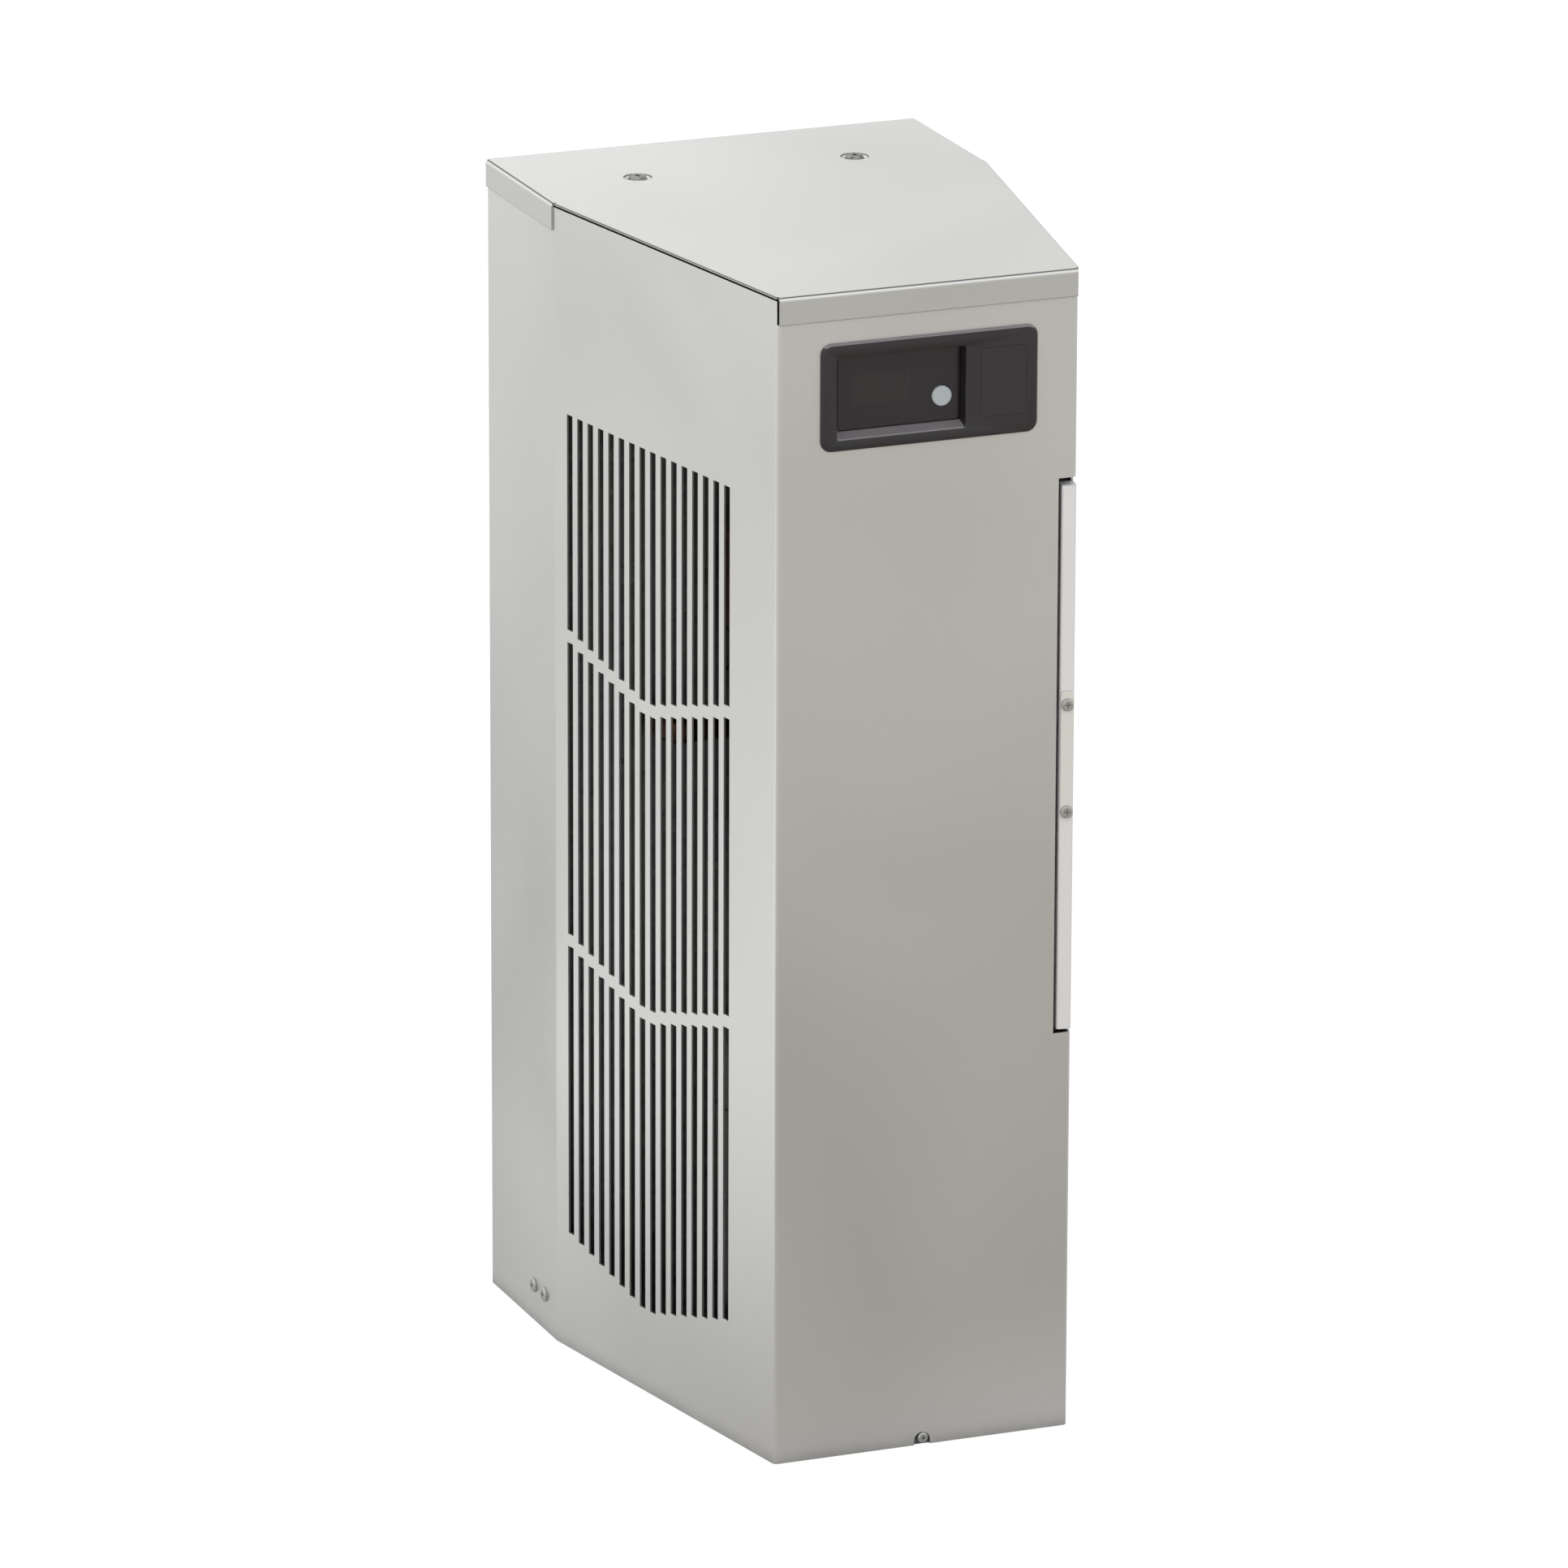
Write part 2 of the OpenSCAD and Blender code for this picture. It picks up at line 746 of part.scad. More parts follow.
module cap_sheet() {
  e = cap_bend_r - sheet_t;
  front = front_w / 2 + e * tan(taper_a);
  placed() translate([0, 0, body_h - sheet_t]) linear_extrude(sheet_t)
    polygon([
      [front, e], [rear_w / 2, taper_d], [rear_w / 2 - e, taper_d], [rear_w / 2 - e, body_d],
      [e - rear_w / 2, body_d], [e - rear_w / 2, taper_d], [-rear_w / 2, taper_d], [-front, e]
    ]);
}

module dimple() {
  slope_r = dimple_r - dimple_side;
  rotate_extrude() polygon([
    [cap_screw_r + fit_gap, -dimple_depth - sheet_t], [slope_r, -dimple_depth - sheet_t],
    [dimple_r, -sheet_t], [dimple_r, 0], [slope_r, -dimple_depth], [cap_screw_r + fit_gap, -dimple_depth]
  ]);
}

module at_cap_screws() {
  for (side = [-1, 1])
    placed() translate([side * cap_screw_x, body_d - cap_screw_back, 0]) children();
}

module top_cap() {
  front = front_w / 2 - slit_w / 2;
  color("gainsboro") {
    difference() {
      cap_sheet();
      at_cap_screws() translate([0, 0, body_h - over]) cylinder(h = 2 * over, r = dimple_r);
    }
    at_cap_screws() translate([0, 0, body_h]) dimple();
    placed() translate([-front, 0, 0]) cap_bend(2 * front);
    both_sides() placed() translate([rear_w / 2, taper_d + cap_gap, 0])
      rotate([0, 0, 90]) cap_bend(strip_d - cap_gap);
  }
}

module top_cover_screws() {
  color("silver") at_cap_screws() translate([0, 0, body_h - dimple_depth])
    pan_screw(cap_head_r, cap_head_h, cap_screw_r, cap_shank);
}

// Base pan: a folded tray that everything in the lower half stands in
module base_pan() {
  inset = sheet_t + fit_gap;
  color("darkgray") difference() {
    placed() linear_extrude(pan_h) plan_shape(inset, plate_front_d);
    placed() translate([0, 0, frame_t]) linear_extrude(pan_h)
      plan_shape(inset + frame_t, plate_front_d - frame_t);
    placed() rod(spout_x, spout_d, -over, over, hose_r + fit_gap);
    at_feet() translate([0, 0, -over]) cylinder(h = 2 * over, r = bolt_r + fit_gap / 2);
    placed() cross_rod(foot_screw_x, foot_screw_z, 0, over, foot_shank_r + fit_gap / 2);
    both_sides() placed() for (d = side_screw_d)
      translate([rear_w / 2 - over, d, side_screw_z]) rotate([0, 90, 0])
        cylinder(h = 2 * over, r = side_shank_r + fit_gap / 2);
  }
}

module side_screws() {
  color("silver") both_sides() placed() for (d = side_screw_d)
    translate([rear_w / 2, d, side_screw_z]) rotate([0, 90, 0])
      pan_screw(side_head_r, side_head_h, side_shank_r, side_shank);
}

module front_cover_screw() {
  seat = sheet_t + fit_gap;
  color("silver") facing_front(foot_screw_x, foot_screw_z, seat)
    pan_screw(foot_head_r, seat + foot_head_proud, foot_shank_r, foot_shank);
}

// Rear plate with both air openings, four threaded inserts and side flanges inside the shroud
module at_inserts() {
  for (x = [-1, 1], z = [mount_z, mount_z + mount_span])
    placed() translate([x * mount_x, body_d, z]) rotate([90, 0, 0]) children();
}

module air_openings(grow) {
  placed() cross_rod(0, wheel_z, plate_front_d - over, body_d + gasket_t + over, return_r + grow);
  placed() box([-supply_w / 2 - grow, plate_front_d - over, supply_z - grow],
    [supply_w / 2 + grow, body_d + gasket_t + over, supply_z + supply_h + grow]);
}

module back_plate() {
  color("silver") difference() {
    placed() union() {
      box([-frame_half_w, plate_front_d, 0], [frame_half_w, body_d, body_h - sheet_t]);
      both_sides() box([frame_half_w - frame_t, plate_front_d - plate_flange, pan_h + fit_gap],
        [frame_half_w, plate_front_d, shelf_top_z]);
    }
    air_openings(0);
    at_inserts() translate([0, 0, -over]) cylinder(h = 2 * over, r = insert_hole_r);
    placed() cross_rod(grommet_x, grommet_z, plate_front_d - over, body_d + over, grommet_r);
  }
}

module mount_inserts() {
  color("goldenrod") at_inserts() translate([0, 0, frame_t]) difference() {
    cylinder(h = insert_len, r = insert_r);
    translate([0, 0, -over]) cylinder(h = insert_len + 2 * over, r = insert_bore_r);
  }
}

module mounting_gasket() {
  w = frame_half_w - gasket_inset;
  color("dimgray") difference() {
    placed() box([-w, body_d, gasket_inset], [w, body_d + gasket_t, body_h - sheet_t - gasket_inset]);
    air_openings(gasket_clear);
    at_inserts() translate([0, 0, -2 * over]) cylinder(h = 3 * over, r = insert_r);
    placed() cross_rod(grommet_x, grommet_z, body_d - over, body_d + gasket_t + over,
      grommet_r + grommet_lip + fit_gap);
  }
}

module cable_grommet() {
  color("black") placed() difference() {
    union() {
      cross_rod(grommet_x, grommet_z, plate_front_d - grommet_half_t, body_d + grommet_half_t, grommet_r);
      cross_rod(grommet_x, grommet_z, plate_front_d - grommet_half_t, plate_front_d, grommet_r + grommet_lip);
      cross_rod(grommet_x, grommet_z, body_d, body_d + grommet_half_t, grommet_r + grommet_lip);
    }
    cross_rod(grommet_x, grommet_z, plate_front_d - over, body_d + over, grommet_bore_r);
  }
}

// Bulkhead between the ambient side in front and the cool chamber behind
module bulkhead() {
  color("lightgray") difference() {
    placed() union() {
      box([-pan_half_w, taper_d, frame_t], [pan_half_w, bulkhead_d, shelf_top_z]);
      box([-pan_half_w, taper_d, shelf_top_z - frame_t],
        [pan_half_w, body_d - cap_screw_back + dimple_r + ledge_back, shelf_top_z]);
      box([-pan_half_w, taper_d, frame_t], [pan_half_w, bulkhead_d + shelf_flange, 2 * frame_t]);
    }
    at_cap_screws() translate([0, 0, shelf_top_z - over]) cylinder(h = 2 * over, r = cap_screw_r + fit_gap / 2);
    placed() cross_rod(suction_x, suction_z, taper_d - over, taper_d + over, suction_r + slide_gap);
    placed() cross_rod(drier_x, capillary_z, taper_d - over, taper_d + over, thin_r + slide_gap);
  }
}

module insulation_liner() {
  color("dimgray") both_sides() placed()
    box([rear_w / 2 - sheet_t - liner_t, bulkhead_d, liner_low],
      [rear_w / 2 - sheet_t, plate_front_d - plate_flange - fit_gap, body_h - sheet_t - liner_drop]);
}

// Bezel: a moulded black frame with a recess for the display and a shallow place for a bare plate
module recess_cut() {
  low = [recess_x - bezel_x - recess_w / 2, -recess_h / 2 - recess_down];
  hull() {
    translate([low[0], low[1], bezel_proud]) cube([recess_w, recess_h, over]);
    translate([0, 0, -recess_floor]) linear_extrude(over) pane_outline(0);
  }
}

module pane_outline(grow) {
  low = [recess_x - bezel_x - recess_w / 2 + recess_bevel, recess_bevel - recess_h / 2 - recess_down];
  loss = recess_bevel * (1 + recess_top_share);
  translate(low - [grow, grow]) square([recess_w - loss + 2 * grow, recess_h - loss + 2 * grow]);
}

module at_posts() {
  w = bezel_w / 2 - bezel_lap - bezel_wall - post_inset;
  h = bezel_h / 2 - bezel_lap - bezel_wall - post_inset;
  for (x = [-1, 1], y = [-1, 1]) translate([x * w, y * h, -board_d]) children();
}

module display_bezel() {
  w = bezel_w - 2 * bezel_lap;
  h = bezel_h - 2 * bezel_lap;
  color([0.2, 0.19, 0.2]) facing_front(bezel_x, bezel_z, 0) {
    difference() {
      union() {
        soft_plate(bezel_w, bezel_h, bezel_proud, bezel_r, bezel_chamfer);
        translate([-w / 2, -h / 2, -bezel_depth]) cube([w, h, bezel_depth]);
        for (x = [-1, 1], y = [-1, 1])
          translate([x * w / 4 - clip_w / 2, y > 0 ? h / 2 - clip_rise : -h / 2 - clip_rise,
            -sheet_t - fit_gap - clip_len])
            cube([clip_w, 2 * clip_rise, clip_len]);
      }
      translate([-w / 2 + bezel_wall, -h / 2 + bezel_wall, -bezel_depth - over])
        cube([w - 2 * bezel_wall, h - 2 * bezel_wall, bezel_depth + over - bezel_solid]);
      recess_cut();
      translate([0, 0, -recess_floor - pane_t]) linear_extrude(pane_t + over) pane_outline(0);
      translate([digit_x - bezel_x - digit_w / 2, digit_z - bezel_z - digit_h / 2, -bezel_solid - over])
        cube([digit_w, digit_h, bezel_solid + over - recess_floor]);
      translate([button_x - bezel_x, button_z - bezel_z, -bezel_solid - over])
        cylinder(h = bezel_solid + over, r = button_dia / 2 + button_gap);
      translate([badge_x - bezel_x - badge_w / 2, -badge_h / 2, bezel_proud - badge_t])
        cube([badge_w, badge_h, over]);
    }
    at_posts() cylinder(h = board_d - bezel_solid, r = post_r);
  }
}

module display_window() {
  color([0.08, 0.08, 0.09]) facing_front(bezel_x, bezel_z, 0) difference() {
    translate([0, 0, -recess_floor - pane_t]) linear_extrude(pane_t) pane_outline(-fit_gap);
    translate([button_x - bezel_x, button_z - bezel_z, -bezel_solid - over])
      cylinder(h = bezel_solid + over, r = button_dia / 2 + button_gap);
  }
}

module badge_plate() {
  color([0.2, 0.19, 0.2]) facing_front(badge_x, bezel_z, 0)
    translate([badge_gap - badge_w / 2, badge_gap - badge_h / 2, bezel_proud - badge_t])
      cube([badge_w - 2 * badge_gap, badge_h - 2 * badge_gap, badge_t]);
}

module set_button() {
  r = button_dia / 2;
  front = button_proud - recess_floor;
  back = bezel_solid + button_gap;
  color([0.74, 0.77, 0.79]) facing_front(button_x, button_z, 0) rotate_extrude() polygon([
    [0, front], [r - button_edge, front], [r, front - button_edge], [r, -back], [collar_r, -back],
    [collar_r, -back - collar_t], [r / 2, -back - collar_t], [r / 2, -back - collar_t - button_tail],
    [0, -back - collar_t - button_tail]
  ]);
}

module display_board() {
  w = bezel_w - 2 * bezel_lap - 2 * bezel_wall - 2 * board_margin;
  h = bezel_h - 2 * bezel_lap - 2 * bezel_wall - 2 * board_margin;
  switch_top = bezel_solid + button_gap + collar_t + button_tail + button_travel + fit_gap;
  color("darkgreen") facing_front(bezel_x, bezel_z, 0) {
    translate([-w / 2, -h / 2, -board_d - board_t]) cube([w, h, board_t]);
    translate([digit_x - bezel_x - digit_w / 2 + fit_gap, digit_z - bezel_z - digit_h / 2 + fit_gap, -board_d])
      cube([digit_w - 2 * fit_gap, digit_h - 2 * fit_gap, board_d - recess_floor - pane_t - fit_gap]);
    translate([button_x - bezel_x, button_z - bezel_z, -board_d])
      cylinder(h = board_d - switch_top, r = button_dia / 4);
  }
}

// Slide-out filter cassette behind the right tapered side
module filter_frame() {
  groove = filter_rim / 2;
  mesh_w = filter_t / 2;
  color("silver") on_side() translate([strip_back, filter_w0, filter_z]) difference() {
    cube([filter_len, filter_t, filter_h]);
    translate([filter_rim, -over, filter_rim])
      cube([filter_len - 2 * filter_rim, filter_t + 2 * over, filter_h - 2 * filter_rim]);
    translate([groove, (filter_t - mesh_w) / 2, groove])
      cube([filter_len - 2 * groove, mesh_w, filter_h - 2 * groove]);
  }
}

module filter_mesh() {
  groove = filter_rim / 2 + fit_gap;
  thick = filter_t / 2 - fit_gap;
  w = filter_len - 2 * groove;
  h = filter_h - 2 * groove;
  step = [w / mesh_cols, h / mesh_rows];
  hole = min(step[0], step[1]) * mesh_open_share;
  color("lightgray") on_side()
    translate([strip_back + groove, filter_w0 + (filter_t + thick) / 2, filter_z + groove])
      rotate([90, 0, 0]) linear_extrude(thick) difference() {
        square([w, h]);
        for (i = [0:mesh_cols - 1], j = [0:mesh_rows - 1])
          translate([(i + 0.5) * step[0], (j + 0.5) * step[1]]) rotate(45) square(hole, center = true);
      }
}

module filter_end_strip() {
  r = strip_round;
  color("whitesmoke") on_side() translate([0, 0, filter_z]) difference() {
    linear_extrude(filter_h) {
      translate([r - strip_proud, 0]) square([strip_len - r, strip_w]);
      translate([-strip_proud, r]) square([strip_len, strip_w - 2 * r]);
      for (w = [r, strip_w - r]) translate([r - strip_proud, w]) circle(r);
    }
    for (z = [pull_mid_z + pull_screw_up, pull_mid_z - pull_screw_down])
      translate([-strip_proud - over, strip_w / 2, z - filter_z]) rotate([0, 90, 0])
        cylinder(h = over + pull_shank, r = pull_shank_r);
  }
}

module filter_pull_plate() {
  w = strip_w - 2 * pull_margin;
  color("linen") on_side() translate([-strip_proud, strip_w / 2, pull_mid_z]) rotate([0, -90, 0])
    linear_extrude(pull_t) difference() {
      round_rect(pull_h, w, strip_round);
      for (z = [pull_screw_up, -pull_screw_down]) translate([z, 0]) circle(pull_shank_r + fit_gap / 2);
    }
}

module filter_screws() {
  color("silver") on_side()
    for (z = [pull_mid_z + pull_screw_up, pull_mid_z - pull_screw_down])
      translate([-strip_proud - pull_t, strip_w / 2, z]) rotate([0, -90, 0])
        pan_screw(pull_head_r, pull_head_h, pull_shank_r, pull_shank);
}

module filter_tracks() {
  leg_w = filter_w0 + filter_t + slide_gap;
  lift = filter_h / 2 + slide_gap;
  length = filter_len + strip_back - track_start + track_past;
  color("silver") on_side() translate([track_start, 0, filter_z + filter_h / 2])
    for (s = [0, 1]) mirror([0, 0, s]) {
      translate([0, sheet_t, lift]) cube([length, leg_w + track_t - sheet_t, track_t]);
      translate([0, leg_w, lift - track_lap]) cube([length, track_t, track_lap + track_t]);
      translate([0, sheet_t, lift]) cube([length, track_t, track_lap + track_t]);
    }
}

// Shelf that carries the electrical box off the bulkhead
module control_shelf() {
  color("lightgray") placed() {
    box([-shelf_half_w, shelf_front_d, shelf_z], [shelf_half_w, taper_d, shelf_z + frame_t]);
    box([-shelf_half_w, taper_d - frame_t, shelf_z], [shelf_half_w, taper_d, shelf_z + frame_t + shelf_flange]);
  }
}

// Stand that holds the condenser at the height of the filter
module coil_stand() {
  half = cond_len / 2 + plate_gap + end_plate_t;
  top = cond_z - coil_margin;
  color("lightgray") on_side() {
    box([cond_mid_u - half, cond_w0, top - frame_t], [cond_mid_u + half, cond_back_w, top]);
    for (u = [cond_mid_u - half, cond_mid_u + half - frame_t])
      box([u, cond_w0, frame_t], [u + frame_t, cond_back_w, top]);
    box([cond_mid_u - half, cond_w0, frame_t], [cond_mid_u - half + stand_leg_in, cond_back_w, 2 * frame_t]);
    box([cond_mid_u + half - stand_leg_in, cond_w0, frame_t], [cond_mid_u + half, cond_back_w, 2 * frame_t]);
  }
}

// Hermetic compressor on three rubber feet, with its suction accumulator
module at_feet() {
  placed() translate([-comp_x, comp_d, 0])
    for (a = foot_angles) rotate([0, 0, a]) translate([foot_reach, 0, 0]) children();
}

module can_shape(r, h, shoulder) {
  square([r - shoulder, h]);
  translate([0, shoulder]) square([r, h - 2 * shoulder]);
  for (y = [shoulder, h - shoulder]) translate([r - shoulder, y]) intersection() {
    circle(shoulder);
    translate([0, -shoulder]) square([shoulder, 2 * shoulder]);
  }
}

module compressor() {
  color([0.13, 0.13, 0.14]) {
    placed() translate([-comp_x, comp_d, comp_base_z]) rotate_extrude() {
      can_shape(comp_r, comp_h, comp_shoulder);
      translate([0, comp_h * seam_share]) square([comp_r + seam_proud, seam_h]);
    }
    placed() cross_rod(-comp_x, acc_z - acc_drop, comp_d + comp_r - comp_shoulder,
      comp_d + comp_r + suction_stub_h, suction_stub_r);
    placed() translate([-comp_x, comp_d, comp_z]) linear_extrude(foot_t) difference() {
      union() {
        circle(comp_r - comp_shoulder);
        for (a = foot_angles) rotate(a) {
          translate([0, -foot_arm / 2]) square([foot_reach, foot_arm]);
          translate([foot_reach, 0]) circle(foot_r);
        }
      }
      for (a = foot_angles) rotate(a) translate([foot_reach, 0]) circle(foot_hole_r);
    }
  }
}

module compressor_grommets() {
  color([0.1, 0.1, 0.1]) at_feet() difference() {
    union() {
      translate([0, 0, frame_t]) cylinder(h = grommet_h, r = grommet_foot_r);
      translate([0, 0, frame_t]) cylinder(h = grommet_h + foot_t + grommet_cap_h, r = grommet_neck_r);
      translate([0, 0, comp_base_z]) cylinder(h = grommet_cap_h, r = grommet_cap_r);
    }
    translate([0, 0, -over]) cylinder(h = comp_top_z, r = bolt_r + fit_gap / 2);
  }
}

module compressor_bolts() {
  top = comp_base_z + grommet_cap_h;
  color("goldenrod") at_feet() {
    cylinder(h = top + 2 * bolt_head_h, r = bolt_r);
    translate([0, 0, top]) cylinder(h = bolt_head_h, r = bolt_head_r, $fn = 6);
  }
}

module terminal_cover() {
  color([0.16, 0.16, 0.17]) on_side() translate([comp_u - cover_off, comp_w, comp_top_z])
    rotate_extrude() difference() {
      union() {
        square([cover_r, cover_h - cover_round]);
        square([cover_r - cover_round, cover_h]);
        translate([cover_r - cover_round, cover_h - cover_round]) circle(cover_round);
      }
      translate([0, -over]) square([cover_r - cover_t, over + cover_hollow]);
    }
}

module accumulator() {
  front = comp_d + comp_r;
  color([0.13, 0.13, 0.14]) placed() {
    translate([-comp_x, acc_d, acc_z]) rotate_extrude() can_shape(acc_r, acc_h, acc_shoulder);
    bent_tube([
      [-comp_x, acc_d, acc_z], [-comp_x, acc_d, acc_z - acc_drop],
      [-comp_x, front + suction_stub_h, acc_z - acc_drop]
    ], suction_r, line_bend);
    box([-comp_x - strap_w / 2, front, strap_z], [-comp_x + strap_w / 2, acc_d - acc_r / 2, strap_z + strap_h]);
  }
}

// Finned coils: thin plates pressed on copper hairpins, with brazed return bends at both ends
module tube_holes(tubes, height, r) {
  for (row = [-1, 1], i = [0:tubes - 1])
    translate([fin_depth / 2 + row * row_pitch / 2, (i + 0.5) * height / tubes]) circle(r);
}

module coil_fins(fins, length, tubes, height) {
  for (i = [0:fins - 1])
    translate([(i / (fins - 1) - 0.5) * length - fin_t / 2, 0, 0]) rotate([90, 0, 90])
      linear_extrude(fin_t) difference() {
        square([fin_depth, height]);
        tube_holes(tubes, height, tube_r);
      }
}

module coil_tubes(half, tubes, height) {
  translate([-half, 0, 0]) rotate([90, 0, 90]) linear_extrude(2 * half) tube_holes(tubes, height, tube_r);
}

module return_bend(bend_radius) {
  rotate_extrude(angle = 180) translate([bend_radius, 0]) circle(tube_r);
}

// Bends of a coil whose two free ends are the top tubes at its positive end
module coil_bends(half, tubes, height) {
  pitch = height / tubes;
  for (row = [-1, 1]) translate([0, fin_depth / 2 + row * row_pitch / 2, 0]) {
    for (i = [0:2:tubes - 2]) translate([-half, 0, (i + 1) * pitch])
      mirror([1, 0, 0]) rotate([-90, -90, 0]) return_bend(pitch / 2);
    for (i = [1:2:tubes - 3]) translate([half, 0, (i + 1) * pitch])
      rotate([-90, -90, 0]) return_bend(pitch / 2);
  }
  translate([half, fin_depth / 2, pitch / 2]) rotate([0, 0, -90]) return_bend(row_pitch / 2);
}

module end_plate(tubes, height, back) {
  rotate([90, 0, 90]) linear_extrude(end_plate_t) difference() {
    translate([0, -coil_margin]) square([fin_depth + back, height + 2 * coil_margin]);
    tube_holes(tubes, height, tube_r + fit_gap / 2);
  }
}

module at_condenser() {
  on_side() translate([cond_mid_u, cond_w0, cond_z]) children();
}

module condenser_fins() {
  color("silver") at_condenser() coil_fins(cond_fins, cond_len, cond_tubes, cond_h);
}

module condenser_tubes() {
  color("peru") at_condenser() coil_tubes(cond_end_u - cond_mid_u, cond_tubes, cond_h);
}

module condenser_return_bends() {
  color("peru") at_condenser() coil_bends(cond_end_u - cond_mid_u, cond_tubes, cond_h);
}

module condenser_end_plates() {
  half = cond_len / 2 + plate_gap;
  color("lightgray") at_condenser() for (u = [-half - end_plate_t, half])
    translate([u, 0, 0]) end_plate(cond_tubes, cond_h, coil_margin);
}

// Compact axial fan behind the condenser, on a plate that closes the coil's sides
module at_fan() {
  on_side() translate([cond_mid_u, fan_w0, fan_z]) rotate([-90, 0, 0]) children();
}

module at_fan_screws() {
  r = fan_size / 2 - fan_screw_in;
  for (x = [-r, r], y = [-r, r]) translate([x, y, 0]) children();
}

module condenser_fan_shroud() {
  half_w = max(fan_size / 2, cond_len / 2 + plate_gap + end_plate_t);
  half_h = max(fan_size, cond_h) / 2 + coil_margin;
  color("lightgray") at_fan() translate([0, 0, -frame_t]) linear_extrude(frame_t) difference() {
    square([2 * half_w, 2 * half_h], center = true);
    circle(fan_bore_r);
    at_fan_screws() circle(fan_screw_r + fit_gap / 2);
  }
}

module condenser_fan_frame() {
  color([0.17, 0.17, 0.18]) at_fan() {
    difference() {
      union() {
        cylinder(h = fan_depth, r = fan_bore_r + fan_tube_t);
        for (z = [0, fan_depth - fan_flange_t])
          translate([-fan_size / 2, -fan_size / 2, z]) cube([fan_size, fan_size, fan_flange_t]);
      }
      translate([0, 0, -over]) cylinder(h = fan_depth + 2 * over, r = fan_bore_r);
      at_fan_screws() translate([0, 0, -over]) cylinder(h = fan_depth + 2 * over, r = fan_screw_r + fit_gap / 2);
    }
    difference() {
      union() {
        translate([0, 0, fan_depth - fan_stator_t]) cylinder(h = fan_stator_t, r = fan_stator_r);
        for (a = [45, 135]) rotate([0, 0, a])
          translate([-fan_bore_r - fan_tube_t / 2, -fan_strut_w / 2, fan_depth - fan_strut_t])
            cube([2 * fan_bore_r + fan_tube_t, fan_strut_w, fan_strut_t]);
      }
      translate([0, 0, -over]) cylinder(h = over + fan_depth - fan_strut_t, r = shaft_r + run_gap);
    }
  }
}

module condenser_fan_screws() {
  color("silver") at_fan() at_fan_screws() translate([0, 0, fan_depth])
    pan_screw(fan_head_r, fan_head_h, fan_screw_r, fan_depth + frame_t);
}

module fan_blade() {
  half = asin(blade_chord / 2 / blade_camber_r);
  sag = blade_camber_r * cos(half);
  rotate([90, 0, 90]) linear_extrude(fan_tip_r) rotate(fan_pitch_a) translate([0, -sag]) intersection() {
    difference() {
      circle(blade_camber_r);
      circle(blade_camber_r - blade_t);
    }
    translate([-blade_chord / 2, 0]) square([blade_chord, 2 * blade_camber_r]);
  }
}

module condenser_impeller() {
  color([0.2, 0.2, 0.21]) at_fan() {
    intersection() {
      for (i = [0:fan_blades - 1]) rotate([0, 0, i * 360 / fan_blades])
        translate([0, 0, fan_hub_z + fan_hub_t / 2]) fan_blade();
      difference() {
        cylinder(h = fan_depth, r = fan_tip_r);
        translate([0, 0, -over]) cylinder(h = fan_depth + 2 * over, r = fan_hub_r - fan_wall / 2);
      }
    }
    difference() {
      translate([0, 0, fan_hub_z]) cylinder(h = fan_hub_t, r = fan_hub_r);
      translate([0, 0, fan_hub_z + fan_wall]) cylinder(h = fan_hub_t, r = fan_hub_r - fan_wall);
    }
    translate([0, 0, fan_hub_z]) difference() {
      cylinder(h = fan_hub_t, r = fan_boss_r);
      translate([0, 0, fan_wall]) cylinder(h = fan_hub_t, r = shaft_r);
    }
  }
}

module condenser_fan_shaft() {
  start = fan_hub_z + fan_wall;
  color("silver") at_fan() translate([0, 0, start])
    cylinder(h = fan_depth - fan_strut_t - fan_gap - start, r = shaft_r);
}

module at_evaporator() {
  placed() translate([0, evap_d0, evap_z]) mirror([1, 0, 0]) children();
}

module evaporator_fins() {
  color("silver") at_evaporator() coil_fins(evap_fins, evap_len, evap_tubes, evap_h);
}

module evaporator_tubes() {
  color("peru") at_evaporator() coil_tubes(evap_end_x, evap_tubes, evap_h);
}

module evaporator_return_bends() {
  color("peru") at_evaporator() coil_bends(evap_end_x, evap_tubes, evap_h);
}

module evaporator_end_plates() {
  half = evap_len / 2 + plate_gap;
  color("lightgray") at_evaporator() for (x = [-half - end_plate_t, half])
    translate([x, 0, 0]) end_plate(evap_tubes, evap_h, evap_back_gap);
}

// Forward-curved blower that draws through the return opening and blows down on to the coil
module scroll_outline(grow, drop) {
  s = scroll_step;
  centre = [[1, -1], [1, 1], [-1, 1], [-1, -1]] * s / 2;
  quadrant = [[0, 0], [-1, 0], [-1, -1], [0, -1]];
  for (i = [0:3]) {
    r = scroll_r0 + (3 - i) * s + grow;
    translate(centre[i]) intersection() {
      circle(r);
      translate(quadrant[i] * 2 * r) square(2 * r);
    }
  }
  circle(scroll_r0 / 2);
  translate([duct_in - grow, -drop]) square([s / 2 + scroll_r0 + 3 * s + grow - duct_in + grow, drop]);
}

module blower_scroll() {
  depth = plate_front_d - scroll_d0;
  color("lightgray") placed() translate([0, plate_front_d, wheel_z]) rotate([90, 0, 0]) difference() {
    linear_extrude(depth) scroll_outline(scroll_t, duct_drop);
    translate([0, 0, scroll_t]) linear_extrude(depth - 2 * scroll_t) scroll_outline(0, duct_drop + over);
    translate([0, 0, -over]) cylinder(h = over + 2 * scroll_t, r = return_r);
    translate([0, 0, depth - 2 * scroll_t]) cylinder(h = over + scroll_t, r = hub_r + fit_gap);
  }
}

